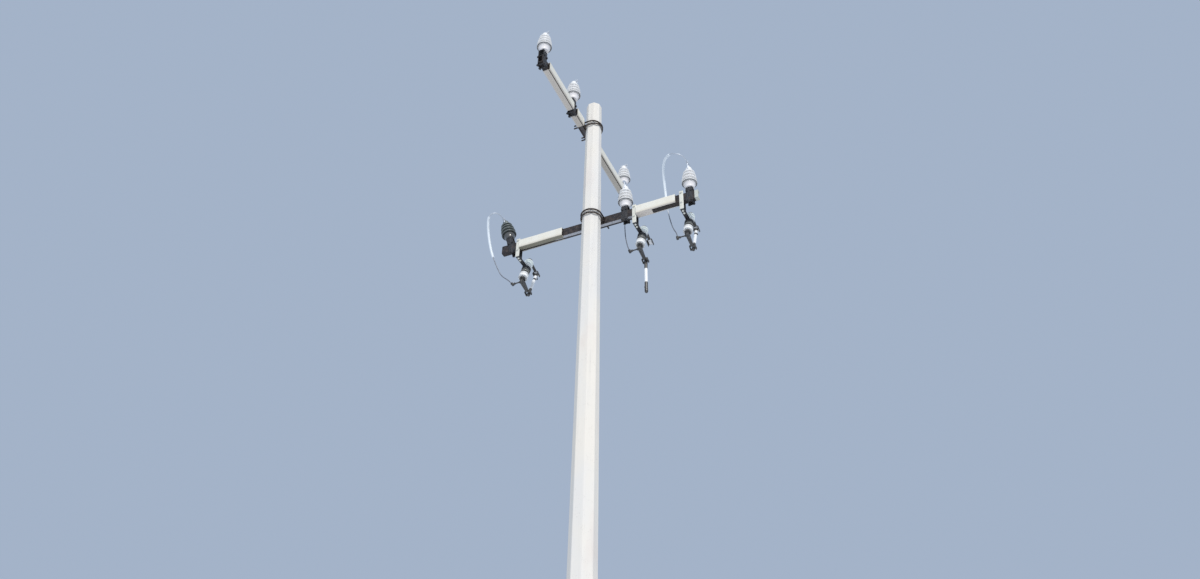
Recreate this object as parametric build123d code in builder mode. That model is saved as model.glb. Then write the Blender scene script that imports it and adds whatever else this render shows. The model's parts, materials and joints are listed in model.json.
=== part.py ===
from build123d import *
import math
import os

os.makedirs("parts", exist_ok=True)

# A tapered octagonal concrete pole with two steel crossarms at right angles.
# +Z is up and the origin is the middle of the pole where it leaves the ground.
# +X runs along the lower arm. The upper arm runs along Y.

# Pole
pole_height = 10200.0
pole_top_flats = 153.0
pole_taper = 0.0135
pole_arris = 11.0
pole_sides = 8
arm_seat_gap = 0.3

# Crossarms: a steel channel whose web lies against the pole
arm_length = 2170.0
arm_height = 97.0
arm_depth = 54.0
arm_wall = 6.0
upper_arm_below_top = 338.0
lower_arm_below_top = 1655.0
arm_shift = {"upper": 10.0, "lower": 20.0}
spare_hole_radius = 9.0
spare_hole_at = 210.0

# Box sleeves that close the arm between its fittings
sleeve_wall = 4.0
sleeve_proud = 22.0
sleeve_gap = 0.3
sleeve_bolt_gap = 13.0
sleeve_strap_gap = 6.0
sleeve_stand_gap = 10.0
sleeve_end_gap = 42.0
lower_left_sleeve_from_pole = 361.0

# Round U-bolts that hold each arm
rod_diameter = 16.0
rod_spacing = 40.0
rod_clearance = 0.4
rod_tail = 86.0
rod_hole_clearance = 1.0
nut_across_flats = 27.0
nut_height = 14.0
washer_diameter = 34.0
washer_thickness = 4.0
thread_clearance = 0.15

# Stands that carry the post insulators
stand_width = 70.0
stand_plate = 6.0
stand_above_arm = 105.0
stand_below_arm = 32.0
stand_side_gap = 0.3
stand_bolt_radius = 7.0
stand_bolt_clear = 9.0
stand_bolt_spacing = 46.0
stand_head_height = 9.0
stand_head_radius = 12.0

# Post insulators
post_cap_radius = 48.0
post_cap_height = 46.0
post_ring_radius = 60.0
post_ring_height = 9.0
post_core_radius = 34.0
post_shed_radii = (79.0, 74.0, 66.0, 56.0)
post_shed_pitch = 46.0
post_shed_edge = 7.0
post_head_radius = 33.0
post_head_height = 38.0
post_groove_radius = 26.0
post_groove_height = 12.0

# Tie and clamp on the head of a post insulator
tie_wire = 6.0
tie_gap = 0.2
clamp_length = 96.0
clamp_width = 24.0
clamp_height = 20.0
clamp_corner = 6.0
clamp_bolt_radius = 6.0
clamp_bolt_height = 16.0

# Posts at the arms' ends are set in from those ends, and the other two are placed from the pole's axis
upper_near_post_inset = 45.0
upper_far_post_inset = 40.0
upper_inner_post_at = -333.0
lower_left_post_inset = 114.0
lower_right_post_inset = 90.0
lower_middle_post_at = 324.0
left_post_lean = -16.0
post_toward_pole = {"upper": 12.0, "lower": 0.0}

# Fuse cutouts that hang behind the lower arm
left_cutout_inset = 191.0
right_cutout_inset = 173.0
middle_cutout_at = 430.0
cutout_closed = {"left": True, "middle": False, "right": True}
cutout_tilt = 20.0
cutout_out = 200.0
band_below_bar = 24.0

strap_width = 34.0
strap_plate = 8.0
strap_up = 86.0
strap_down = 150.0
strap_bolt_radius = 7.0
strap_bolt_clear = 9.0
strap_bolt_head_radius = 12.0
strap_bolt_head_height = 9.0
bar_thickness = 10.0
band_radius = 38.0
band_height = 34.0
band_gap = 0.3

body_half_length = 165.0
body_core_radius = 27.0
body_shed_radius = 48.0
body_shed_pitch = 40.0
body_shed_edge = 6.0
body_sheds_each_side = 3

contact_cap_radius = 31.0
contact_arm_width = 30.0
contact_arm_thickness = 8.0
contact_tip_past_tube = 16.0
contact_gap = 6.0
contact_hood_width = 52.0
contact_hood_drop = 26.0
contact_hood_wall = 4.0
contact_above_body = 16.0

hinge_offset = 172.0
hinge_below_body = 48.0
hinge_cap_height = 22.0
hinge_neck_width = 26.0
hinge_neck_height = 86.0
cheek_gap = 48.0
cheek_wall = 7.0
cheek_height = 34.0
cheek_reach = 16.0
cheek_root = 40.0
hinge_pin_radius = 6.0
hinge_pin_clearance = 0.1
terminal_reach = 100.0
terminal_radius = 7.0
terminal_drop = 73.0
terminal_clamp_radius = 14.0
terminal_clamp_length = 36.0

# Fuse tube
tube_radius = 13.0
tube_ferrule_radius = 17.0
tube_ferrule_height = 40.0
tube_foot_below_pin = 22.0
tube_foot_height = 62.0
tube_ring_radius = 17.0
tube_ring_wire = 7.0
tube_ring_below_top = 34.0

# Jumper wires, from an insulator's clamp to a cutout's terminal.
# A route's points are measured from the cutout's place on the arm, along, out from and above the arm's frame.
jumper_diameter = 10.0
jumper_arc_share = 0.45
jumper_lead = 50.0
jumper_clamp_end = {"left": -1, "middle": 1, "right": -1}
jumper_arrivals = {"left": (-0.60, -0.25, 0.76), "middle": (-0.34, 0.09, 0.94), "right": (-0.12, 0.05, 0.99)}
jumper_routes = {
    "left": [(-216, -112, 436), (-246, -142, 431), (-288, -150, 413), (-320, -126, 371), (-334, -94, 313),
             (-340, -64, 247), (-338, -38, 167), (-329, -12, 75), (-310, 14, -25), (-283, 40, -115),
             (-252, 62, -203), (-216, 82, -283)],
    "middle": [(-118, 162, 422), (-140, 180, 362), (-162, 178, 280), (-172, 170, 175), (-174, 162, 70),
               (-168, 155, -35), (-161, 148, -140), (-145, 138, -240)],
    "right": [(70, -114, 454), (38, -140, 463), (-7, -144, 487), (-52, -118, 527), (-89, -70, 568),
              (-139, -28, 591), (-178, 16, 575), (-201, 58, 511), (-210, 94, 419), (-211, 118, 314),
              (-209, 132, 210), (-204, 138, 95), (-193, 140, -13), (-175, 138, -121), (-154, 134, -218),
              (-130, 128, -285)],
}


def arm_end(arm, side):
    """Place of an arm's end along it: side is -1 for its first end and 1 for its last."""
    return arm_shift[arm] + side * arm_length / 2


# Places along the arms, with each post's lean in degrees
upper_posts = {"near": (arm_end("upper", -1) + upper_near_post_inset, 0.0),
               "inner": (upper_inner_post_at, 0.0),
               "far": (arm_end("upper", 1) - upper_far_post_inset, 0.0)}
lower_posts = {"left": (arm_end("lower", -1) + lower_left_post_inset, left_post_lean),
               "middle": (lower_middle_post_at, 0.0),
               "right": (arm_end("lower", 1) - lower_right_post_inset, 0.0)}
cutout_places = {"left": arm_end("lower", -1) + left_cutout_inset,
                 "middle": middle_cutout_at,
                 "right": arm_end("lower", 1) - right_cutout_inset}

# The band's middle hangs below the bar at the strap's foot
cutout_down = strap_down + band_below_bar

# The tube reaches from its pin up to a small gap under the contact
tube_length = 2 * body_half_length + hinge_below_body + contact_above_body - contact_gap


def pole_half_flats(height):
    """Half the pole's width across flats at a height."""
    return (pole_top_flats + pole_taper * (pole_height - height)) / 2


def across(frame, along):
    """Plane that cuts a frame's X direction: its own x is the frame's Y and its own y is the frame's Z."""
    start = frame.from_local_coords(Vector(along, 0, 0))
    return Plane(origin=start, x_dir=frame.y_dir, z_dir=frame.x_dir)


def level(frame, height):
    """Plane at a height in a frame, parallel to the frame's own XY plane."""
    start = frame.from_local_coords(Vector(0, 0, height))
    return Plane(origin=start, x_dir=frame.x_dir, z_dir=frame.z_dir)


def facing(frame, out):
    """Upright plane at a distance out: its own x is the frame's X, its y is up, its normal points back."""
    start = frame.from_local_coords(Vector(0, out, 0))
    return Plane(origin=start, x_dir=frame.x_dir, z_dir=-frame.y_dir)


def save(part, name):
    """Label one finished piece and write it."""
    part.label = name
    export_step(part, f"parts/{name}.step")


def octagon_profile(flats, plane):
    """Octagon with rounded arrises, its flats square to X and Y."""
    with BuildSketch(plane) as profile:
        RegularPolygon(flats / 2, pole_sides, major_radius=False, rotation=180 / pole_sides)
        fillet(profile.vertices(), pole_arris)
    return profile.sketch


# Pole
with BuildPart() as pole:
    add(octagon_profile(2 * pole_half_flats(0), Plane.XY))
    add(octagon_profile(pole_top_flats, Plane.XY.offset(pole_height)))
    loft(ruled=True)
save(pole.part, "pole")

# Frames of the two arms: X along the arm, Y away from the pole, Z up, at mid height on the pole's flat
upper_arm_z = pole_height - upper_arm_below_top
lower_arm_z = pole_height - lower_arm_below_top
seat_radius = {"upper": pole_half_flats(upper_arm_z - arm_height / 2) + arm_seat_gap,
               "lower": pole_half_flats(lower_arm_z - arm_height / 2) + arm_seat_gap}
arm_frames = {
    "upper": Plane(origin=(-seat_radius["upper"], 0, upper_arm_z), x_dir=(0, 1, 0), z_dir=(0, 0, 1)),
    "lower": Plane(origin=(0, seat_radius["lower"], lower_arm_z), x_dir=(1, 0, 0), z_dir=(0, 0, 1)),
}


def rod_circle_radius(arm):
    """Radius of a U-bolt's centre line, clear of the octagon's corners."""
    corner = seat_radius[arm] / math.cos(math.pi / pole_sides)
    return corner + rod_clearance + rod_diameter / 2


# Arm channels, with holes for the U-bolt legs, and two spare bolt holes in the lower one
for arm, frame in arm_frames.items():
    leg = rod_circle_radius(arm)
    start = arm_end(arm, -1)
    with BuildPart() as channel:
        with BuildSketch(across(frame, start)):
            with Locations((arm_depth / 2, 0)):
                Rectangle(arm_depth, arm_height)
            with Locations((arm_wall + arm_depth / 2, 0)):
                Rectangle(arm_depth, arm_height - 2 * arm_wall, mode=Mode.SUBTRACT)
        extrude(amount=arm_length)
        with BuildSketch(facing(frame, arm_wall)):
            with Locations((-leg, -rod_spacing / 2), (-leg, rod_spacing / 2),
                           (leg, -rod_spacing / 2), (leg, rod_spacing / 2)):
                Circle(rod_diameter / 2 + rod_hole_clearance)
            if arm == "lower":
                with Locations((-spare_hole_at, 0), (spare_hole_at, 0)):
                    Circle(spare_hole_radius)
        extrude(amount=arm_wall, mode=Mode.SUBTRACT)
    save(channel.part, f"{arm}_arm_channel")


def make_sleeve(arm, first, last, name):
    """Square box sleeve round a stretch of the channel, standing proud of its web."""
    frame = arm_frames[arm]
    inner_depth = sleeve_proud + arm_depth + sleeve_gap
    inner_height = arm_height + 2 * sleeve_gap
    centre = (arm_depth + sleeve_gap - sleeve_proud) / 2
    with BuildPart() as sleeve:
        with BuildSketch(across(frame, first)):
            with Locations((centre, 0)):
                Rectangle(inner_depth + 2 * sleeve_wall, inner_height + 2 * sleeve_wall)
                Rectangle(inner_depth, inner_height, mode=Mode.SUBTRACT)
        extrude(amount=last - first)
    save(sleeve.part, name)


# Each sleeve runs from one fitting on the arm to the next
past_stand = stand_width / 2 + sleeve_stand_gap
past_end_stand = stand_width / 2 + sleeve_end_gap
past_strap = strap_width / 2 + sleeve_strap_gap
past_end_strap = strap_width / 2 + sleeve_end_gap
past_rods = rod_circle_radius("upper") + washer_diameter / 2 + sleeve_bolt_gap
sleeve_spans = {
    "lower_arm_sleeve_left": ("lower", cutout_places["left"] + past_strap, -lower_left_sleeve_from_pole),
    "lower_arm_sleeve_right": ("lower", cutout_places["middle"] + past_strap,
                               cutout_places["right"] - past_end_strap),
    "upper_arm_sleeve_near": ("upper", upper_posts["near"][0] + past_end_stand,
                              upper_posts["inner"][0] - past_stand),
    "upper_arm_sleeve_inner": ("upper", upper_posts["inner"][0] + past_stand, -past_rods),
    "upper_arm_sleeve_far": ("upper", past_rods, upper_posts["far"][0] - past_end_stand),
}
for name, (arm, first, last) in sleeve_spans.items():
    make_sleeve(arm, first, last, name)

# U-bolts and their nuts
for arm, frame in arm_frames.items():
    leg = rod_circle_radius(arm)
    pole_axis = -seat_radius[arm]
    tail = arm_wall + washer_thickness + nut_height + rod_tail
    with BuildPart() as u_bolts:
        for lift in (-rod_spacing / 2, rod_spacing / 2):
            with BuildLine(level(frame, lift)) as bend:
                near = Line((-leg, tail), (-leg, pole_axis))
                ThreePointArc((-leg, pole_axis), (0, pole_axis - leg), (leg, pole_axis))
                Line((leg, pole_axis), (leg, tail))
            with BuildSketch(Plane(origin=near @ 0, z_dir=near % 0)):
                Circle(rod_diameter / 2)
            sweep(path=bend.line)
    save(u_bolts.part, f"{arm}_u_bolts")
    with BuildPart() as nuts:
        with BuildSketch(facing(frame, arm_wall + washer_thickness)):
            with Locations((-leg, -rod_spacing / 2), (-leg, rod_spacing / 2),
                           (leg, -rod_spacing / 2), (leg, rod_spacing / 2)):
                Circle(washer_diameter / 2)
                Circle(rod_diameter / 2 + thread_clearance, mode=Mode.SUBTRACT)
        extrude(amount=washer_thickness)
        with BuildSketch(facing(frame, arm_wall + washer_thickness + nut_height)):
            with Locations((-leg, -rod_spacing / 2), (-leg, rod_spacing / 2),
                           (leg, -rod_spacing / 2), (leg, rod_spacing / 2)):
                RegularPolygon(nut_across_flats / 2, 6, major_radius=False)
                Circle(rod_diameter / 2 + thread_clearance, mode=Mode.SUBTRACT)
        extrude(amount=nut_height)
    save(nuts.part, f"{arm}_u_bolt_nuts")


def leaning_frame(arm, along, lean):
    """Frame of a stand on the arm's centre, leaned in the plane of the web."""
    base = arm_frames[arm]
    middle = base.from_local_coords(Vector(along, arm_depth / 2, 0))
    upright = Plane(origin=middle, x_dir=base.x_dir, z_dir=base.z_dir)
    return upright.rotated((0, lean, 0))


def make_stand(frame, name):
    """Inverted U of plate over the arm, with two bolts below the arm and two above it."""
    side = arm_depth / 2 + stand_side_gap
    top = arm_height / 2 + stand_above_arm
    foot = arm_height / 2 + stand_below_arm
    outside = side + stand_plate + stand_head_height
    bolt_z = arm_height / 2 + stand_bolt_clear + stand_bolt_radius
    with BuildPart() as stand:
        with BuildSketch(across(frame, -stand_width / 2)):
            with Locations((0, (top - foot) / 2)):
                Rectangle(2 * (side + stand_plate), top + foot)
            with Locations((0, (top - foot) / 2 - stand_plate)):
                Rectangle(2 * side, top + foot, mode=Mode.SUBTRACT)
        extrude(amount=stand_width)
        with BuildSketch(facing(frame, outside)):
            with GridLocations(stand_bolt_spacing, 2 * bolt_z, 2, 2):
                Circle(stand_bolt_radius)
        extrude(amount=2 * outside)
        with BuildSketch(facing(frame, outside)):
            with GridLocations(stand_bolt_spacing, 2 * bolt_z, 2, 2):
                RegularPolygon(stand_head_radius, 6)
        extrude(amount=stand_head_height)
        with BuildSketch(facing(frame, -side - stand_plate)):
            with GridLocations(stand_bolt_spacing, 2 * bolt_z, 2, 2):
                RegularPolygon(stand_head_radius, 6)
        extrude(amount=stand_head_height)
    save(stand.part, name)


def shed_points(core, radii, pitch, edge, start):
    """Outline of stacked sheds: a steep underside, a thin rim and a slope back to the core."""
    points = []
    for index, radius in enumerate(radii):
        low = start + index * pitch
        rim = low + edge / 2
        points.append((core, low))
        points.append((radius, rim))
        points.append((radius, rim + edge))
        points.append((core, low + pitch - edge / 2))
    return points


def make_post(frame, name):
    """Porcelain post with a base cap, a ring, conical sheds, a groove and a rounded head."""
    base = arm_height / 2 + stand_above_arm
    shed_start = base + post_cap_height + post_ring_height
    groove = shed_start + len(post_shed_radii) * post_shed_pitch
    head = groove + post_groove_height
    top = head + post_head_height
    points = [(0, base), (post_cap_radius, base), (post_cap_radius, base + post_cap_height),
              (post_ring_radius, base + post_cap_height), (post_ring_radius, shed_start)]
    points += shed_points(post_core_radius, post_shed_radii, post_shed_pitch, post_shed_edge, shed_start)
    points += [(post_groove_radius, groove), (post_groove_radius, head), (post_head_radius, head),
               (post_head_radius, head + post_head_height / 2), (post_head_radius / 2, top), (0, top)]
    with BuildPart() as post:
        with BuildSketch(across(frame, 0)):
            with BuildLine():
                Polyline(points, close=True)
            make_face()
        revolve(axis=Axis(frame.origin, frame.z_dir))
    save(post.part, name)
    return groove, top


def make_tie(frame, groove, top, name):
    """Tie wire in the groove, two risers and a clamp that lies across the head."""
    wire_radius = tie_wire / 2
    ring = post_groove_radius + tie_gap + wire_radius
    riser = post_head_radius + tie_gap + wire_radius
    ring_z = groove + post_groove_height / 2
    clamp_z = top + tie_gap
    with BuildPart() as tie:
        with BuildSketch(across(frame, 0)):
            with Locations((ring, ring_z)):
                Circle(wire_radius)
        revolve(axis=Axis(frame.origin, frame.z_dir))
        with BuildSketch(level(frame, ring_z)):
            with Locations((0, riser), (0, -riser)):
                Circle(wire_radius)
        extrude(amount=clamp_z + clamp_height / 2 - ring_z)
        with BuildSketch(level(frame, ring_z - wire_radius)):
            with Locations((0, (ring + riser) / 2), (0, -(ring + riser) / 2)):
                Rectangle(tie_wire, riser - ring + tie_wire)
        extrude(amount=tie_wire)
        with BuildSketch(level(frame, clamp_z)):
            Rectangle(clamp_width, clamp_length)
            fillet(vertices(), clamp_corner)
        extrude(amount=clamp_height)
        with BuildSketch(level(frame, clamp_z + clamp_height)):
            with Locations((0, clamp_length / 4), (0, -clamp_length / 4)):
                RegularPolygon(clamp_bolt_radius, 6)
        extrude(amount=clamp_bolt_height)
    save(tie.part, name)


post_frames = {}
for arm, posts in (("upper", upper_posts), ("lower", lower_posts)):
    for place, (along, lean) in posts.items():
        stand_frame = leaning_frame(arm, along, lean)
        axis_point = stand_frame.from_local_coords(Vector(0, -post_toward_pole[arm], 0))
        frame = Plane(origin=axis_point, x_dir=stand_frame.x_dir, z_dir=stand_frame.z_dir)
        post_frames[f"{arm}_{place}"] = frame
        make_stand(stand_frame, f"{arm}_stand_{place}")
        groove_z, head_z = make_post(frame, f"{arm}_insulator_{place}")
        make_tie(frame, groove_z, head_z, f"{arm}_tie_{place}")


def cutout_frame(along):
    """Frame at the middle of a cutout's porcelain: Z up its tilted axis, Y outward."""
    base = arm_frames["lower"]
    middle = base.from_local_coords(Vector(along, cutout_out, -cutout_down))
    tilt = math.radians(cutout_tilt)
    return Plane(origin=middle, x_dir=(1, 0, 0), z_dir=(0, math.sin(tilt), math.cos(tilt)))


def make_strap(along, name):
    """Flat plate on the pole side of the arm, pinched by two bolts."""
    base = arm_frames["lower"]
    with BuildPart() as strap:
        with BuildSketch(facing(base, 0)):
            with Locations((along, (strap_up - strap_down) / 2)):
                Rectangle(strap_width, strap_up + strap_down)
        extrude(amount=strap_plate)
    save(strap.part, name)


def make_bracket(along, frame, name):
    """Back plate, through-bolts, a bar under the arm and a band round the porcelain."""
    base = arm_frames["lower"]
    bolt_z = arm_height / 2 + strap_bolt_clear + strap_bolt_radius
    bar_top = bar_thickness - strap_down
    with BuildPart() as bracket:
        with BuildSketch(facing(base, arm_depth + strap_plate)):
            with Locations((along, (strap_up - strap_down) / 2)):
                Rectangle(strap_width, strap_up + strap_down)
        extrude(amount=strap_plate)
        with BuildSketch(facing(base, arm_depth + strap_plate + strap_bolt_head_height)):
            with Locations((along, bolt_z), (along, -bolt_z)):
                RegularPolygon(strap_bolt_head_radius, 6)
        extrude(amount=strap_bolt_head_height)
        with BuildSketch(facing(base, arm_depth)):
            with Locations((along, bolt_z), (along, -bolt_z)):
                Circle(strap_bolt_radius)
        extrude(amount=arm_depth)
        with BuildSketch(across(base, along - strap_width / 2)):
            with BuildLine():
                Polyline([(0, bar_top), (0, bar_top - bar_thickness),
                          (cutout_out, bar_top - bar_thickness), (cutout_out, bar_top)], close=True)
            make_face()
        extrude(amount=strap_width)
        with BuildSketch(level(frame, -band_height / 2)):
            Circle(band_radius + bar_thickness)
        extrude(amount=band_height)
        with BuildSketch(level(frame, -band_height)):
            Circle(band_radius + band_gap)
        extrude(amount=2 * band_height, mode=Mode.SUBTRACT)
    save(bracket.part, name)


def make_cutout_body(frame, name):
    """Porcelain body: a plain middle for the band, with sheds above and below it."""
    plain = body_half_length - body_sheds_each_side * body_shed_pitch
    radii = [body_shed_radius] * body_sheds_each_side
    lower = shed_points(body_core_radius, radii, body_shed_pitch, body_shed_edge, -body_half_length)
    upper = shed_points(body_core_radius, radii, body_shed_pitch, body_shed_edge, plain)
    points = [(0, -body_half_length)] + lower
    points += [(band_radius, -band_height / 2), (band_radius, band_height / 2)]
    points += upper + [(body_core_radius, body_half_length), (0, body_half_length)]
    with BuildPart() as body:
        with BuildSketch(across(frame, 0)):
            with BuildLine():
                Polyline(points, close=True)
            make_face()
        revolve(axis=Axis(frame.origin, frame.z_dir))
    save(body.part, name)


def make_contact(frame, name):
    """Top casting: a cap, an arm out over the tube and a hood that comes down on both sides of it."""
    arm_z = body_half_length + contact_above_body
    reach = hinge_offset + tube_ferrule_radius + contact_tip_past_tube
    hood_start = hinge_offset - tube_ferrule_radius - contact_tip_past_tube
    with BuildPart() as contact:
        with BuildSketch(level(frame, body_half_length)):
            Circle(contact_cap_radius)
        extrude(amount=contact_above_body + contact_arm_thickness)
        with BuildSketch(level(frame, arm_z)):
            with Locations((0, reach / 2)):
                Rectangle(contact_arm_width, reach)
        extrude(amount=contact_arm_thickness)
        with BuildSketch(level(frame, arm_z)):
            with Locations((0, (hood_start + reach) / 2)):
                Rectangle(contact_hood_width + 2 * contact_hood_wall, reach - hood_start)
        extrude(amount=contact_arm_thickness)
        with BuildSketch(level(frame, arm_z - contact_hood_drop)):
            for side in (-1, 1):
                with Locations((side * (contact_hood_width + contact_hood_wall) / 2,
                                (hood_start + reach) / 2)):
                    Rectangle(contact_hood_wall, reach - hood_start)
        extrude(amount=contact_hood_drop)
    save(contact.part, name)


def make_hinge(frame, clamp, name):
    """Bottom casting: a cap, a neck out to two cheeks for the tube's pin, and a stud with a wire clamp."""
    hinge_z = -body_half_length - hinge_below_body
    outer = cheek_gap / 2 + cheek_wall
    with BuildPart() as hinge:
        with BuildSketch(level(frame, -body_half_length - hinge_cap_height)):
            Circle(contact_cap_radius)
        extrude(amount=hinge_cap_height)
        with BuildSketch(across(frame, -hinge_neck_width / 2)):
            with BuildLine():
                Polyline([(-hinge_neck_width / 2, -body_half_length),
                          (-hinge_neck_width / 2, -body_half_length - hinge_neck_height),
                          (hinge_neck_width / 2, -body_half_length - hinge_neck_height),
                          (hinge_offset - cheek_root, hinge_z - cheek_height / 2),
                          (hinge_offset - cheek_root, hinge_z + cheek_height / 2),
                          (contact_cap_radius, -body_half_length - hinge_cap_height / 2)], close=True)
            make_face()
        extrude(amount=hinge_neck_width)
        with BuildSketch(across(frame, -outer)):
            with Locations((hinge_offset - cheek_root / 2 + cheek_reach / 2, hinge_z)):
                Rectangle(cheek_root + cheek_reach, cheek_height)
        extrude(amount=2 * outer)
        with BuildSketch(across(frame, -cheek_gap / 2)):
            with Locations((hinge_offset - cheek_root / 2 + cheek_reach / 2 + cheek_wall, hinge_z)):
                Rectangle(cheek_root + cheek_reach, 2 * cheek_height)
        extrude(amount=cheek_gap, mode=Mode.SUBTRACT)
        with BuildSketch(across(frame, -outer)):
            with Locations((hinge_offset, hinge_z)):
                Circle(hinge_pin_radius + hinge_pin_clearance)
        extrude(amount=2 * outer, mode=Mode.SUBTRACT)
        with BuildSketch(across(frame, -terminal_reach)):
            with Locations((0, -body_half_length - terminal_drop)):
                Circle(terminal_radius)
        extrude(amount=terminal_reach)
        with BuildSketch(clamp):
            Circle(terminal_clamp_radius)
        extrude(amount=terminal_clamp_length / 2, both=True)
    save(hinge.part, name)


def make_fuse_tube(frame, closed, name):
    """Fuse tube on its pin, standing closed against the contact or hanging straight down."""
    hinge_z = -body_half_length - hinge_below_body
    pivot = frame.from_local_coords(Vector(0, hinge_offset, hinge_z))
    if closed:
        tube_frame = Plane(origin=pivot, x_dir=frame.x_dir, z_dir=frame.z_dir)
    else:
        tube_frame = Plane(origin=pivot, x_dir=frame.x_dir, z_dir=(0, 0, -1))
    ring_z = tube_length - tube_ring_below_top
    ring_y = tube_ferrule_radius + tube_ring_radius - tube_ring_wire / 2
    with BuildPart() as fuse_tube:
        with BuildSketch(level(tube_frame, -tube_foot_below_pin)):
            Circle(tube_ferrule_radius)
        extrude(amount=tube_foot_height)
        with BuildSketch(level(tube_frame, 0)):
            Circle(tube_radius)
        extrude(amount=tube_length - tube_ferrule_height / 2)
        with BuildSketch(level(tube_frame, tube_length - tube_ferrule_height)):
            Circle(tube_ferrule_radius)
        extrude(amount=tube_ferrule_height)
        with BuildSketch(across(tube_frame, -cheek_gap / 2 - cheek_wall)):
            Circle(hinge_pin_radius)
        extrude(amount=cheek_gap + 2 * cheek_wall)
        with BuildSketch(across(tube_frame, -tube_ring_wire / 2)):
            with Locations((ring_y, ring_z)):
                Circle(tube_ring_radius)
                Circle(tube_ring_radius - tube_ring_wire, mode=Mode.SUBTRACT)
        extrude(amount=tube_ring_wire)
    save(fuse_tube.part, name)
    return pivot


def clamp_frame(frame, direction):
    """Frame of the wire clamp on a cutout's stud: Z points back along the wire."""
    centre = frame.from_local_coords(Vector(-terminal_reach, 0, -body_half_length - terminal_drop))
    return Plane(origin=centre, x_dir=frame.y_dir, z_dir=direction)


clamps = {}
for place, along in cutout_places.items():
    frame = cutout_frame(along)
    clamps[place] = clamp_frame(frame, jumper_arrivals[place])
    make_strap(along, f"cutout_strap_{place}")
    make_bracket(along, frame, f"cutout_bracket_{place}")
    make_cutout_body(frame, f"cutout_body_{place}")
    make_contact(frame, f"cutout_contact_{place}")
    make_hinge(frame, clamps[place], f"cutout_hinge_{place}")
    pivot = make_fuse_tube(frame, cutout_closed[place], f"fuse_tube_{place}")
    print("fuse tube", place, "pivot", [round(v, 2) for v in pivot])


def corner_radii(route):
    """Arc at each corner of a route: a share of the shorter run over the tangent of half the turn."""
    radii = []
    for before, corner, after in zip(route, route[1:], route[2:]):
        first = corner - before
        second = after - corner
        turn = math.radians(first.get_angle(second))
        radii.append(jumper_arc_share * min(first.length, second.length) / math.tan(turn / 2))
    return radii


def make_jumper(place):
    """Bare wire from the end of a post's clamp to the clamp on a cutout's stud."""
    post = post_frames[f"lower_{place}"]
    end = jumper_clamp_end[place]
    clamp_z = head_z + tie_gap + clamp_height / 2
    lead_in = clamps[place]
    route = [post.from_local_coords(Vector(0, end * clamp_length / 2, clamp_z)),
             post.from_local_coords(Vector(0, end * (clamp_length / 2 + jumper_lead), clamp_z))]
    for along, out, up in jumper_routes[place]:
        route.append(arm_frames["lower"].from_local_coords(Vector(cutout_places[place] + along, out, up)))
    route += [lead_in.from_local_coords(Vector(0, 0, terminal_clamp_length / 2 + jumper_lead)),
              lead_in.from_local_coords(Vector(0, 0, terminal_clamp_length / 2))]
    radii = corner_radii(route)
    with BuildPart() as jumper:
        with BuildLine() as path:
            FilletPolyline(*route, radius=radii)
        with BuildSketch(Plane(origin=path.line @ 0, z_dir=path.line % 0)):
            Circle(jumper_diameter / 2)
        sweep(path=path.line)
    save(jumper.part, f"jumper_{place}")
    length = path.wires()[0].length
    ideal = math.pi * jumper_diameter ** 2 / 4 * length
    print("jumper", place, "length", round(length, 1), "smallest arc", round(min(radii), 1),
          "volume over section times length", round(jumper.part.volume / ideal, 5))
    print("  route", [[round(v, 1) for v in point] for point in route])


for place in jumper_routes:
    make_jumper(place)
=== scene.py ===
# %% [markdown]
# A concrete utility pole with crossed arms
# The packed model gives the real sizes: a tapered eight-sided concrete pole, two steel arms at right angles,
# six post insulators, three fuse cutouts that swing open, and three short jumper wires.
# This lesson dresses it. Each visible piece could be pushed and pulled into shape by hand, but here it is a
# surface worked out from a formula, so that its sizes can be read and changed, and each finish is a small
# node material written as arithmetic.

# %% Load the packed model
import json
import math
import bpy
import numpy as np
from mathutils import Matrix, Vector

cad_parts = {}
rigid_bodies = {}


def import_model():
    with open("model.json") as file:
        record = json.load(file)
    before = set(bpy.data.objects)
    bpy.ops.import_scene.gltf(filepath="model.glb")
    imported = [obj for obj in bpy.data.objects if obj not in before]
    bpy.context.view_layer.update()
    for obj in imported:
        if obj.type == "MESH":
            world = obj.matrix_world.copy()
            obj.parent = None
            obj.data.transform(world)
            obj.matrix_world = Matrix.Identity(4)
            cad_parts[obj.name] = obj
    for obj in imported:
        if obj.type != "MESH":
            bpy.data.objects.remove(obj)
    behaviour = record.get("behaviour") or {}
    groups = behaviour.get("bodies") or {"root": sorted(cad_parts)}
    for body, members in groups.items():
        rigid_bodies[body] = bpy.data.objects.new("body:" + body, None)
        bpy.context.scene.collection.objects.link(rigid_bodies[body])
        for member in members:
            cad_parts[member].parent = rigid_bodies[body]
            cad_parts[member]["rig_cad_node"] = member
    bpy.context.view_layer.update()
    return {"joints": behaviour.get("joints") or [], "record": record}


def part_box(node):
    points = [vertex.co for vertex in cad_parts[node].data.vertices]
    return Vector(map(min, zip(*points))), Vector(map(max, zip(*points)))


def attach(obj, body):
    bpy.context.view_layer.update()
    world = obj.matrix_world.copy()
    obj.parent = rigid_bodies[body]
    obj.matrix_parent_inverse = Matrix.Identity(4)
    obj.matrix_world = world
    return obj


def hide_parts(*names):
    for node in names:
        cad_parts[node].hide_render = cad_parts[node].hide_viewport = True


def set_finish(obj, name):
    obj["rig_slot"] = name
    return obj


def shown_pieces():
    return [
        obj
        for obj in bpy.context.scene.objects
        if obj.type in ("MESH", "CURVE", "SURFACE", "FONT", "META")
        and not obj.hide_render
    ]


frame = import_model()
MM = 0.001

# %% [markdown]
# The camera
# The photograph was taken from near the ground, looking up at the arms. A camera could be turned by eye until
# the edges agree, but a place, a heading, a rise above the horizon and a focal length can be fitted and
# written down. The focal length in pixels over the picture's width gives the lens on a 36 mm sensor, and a
# small sideways shift puts the optical axis where the photograph has it.

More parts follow.
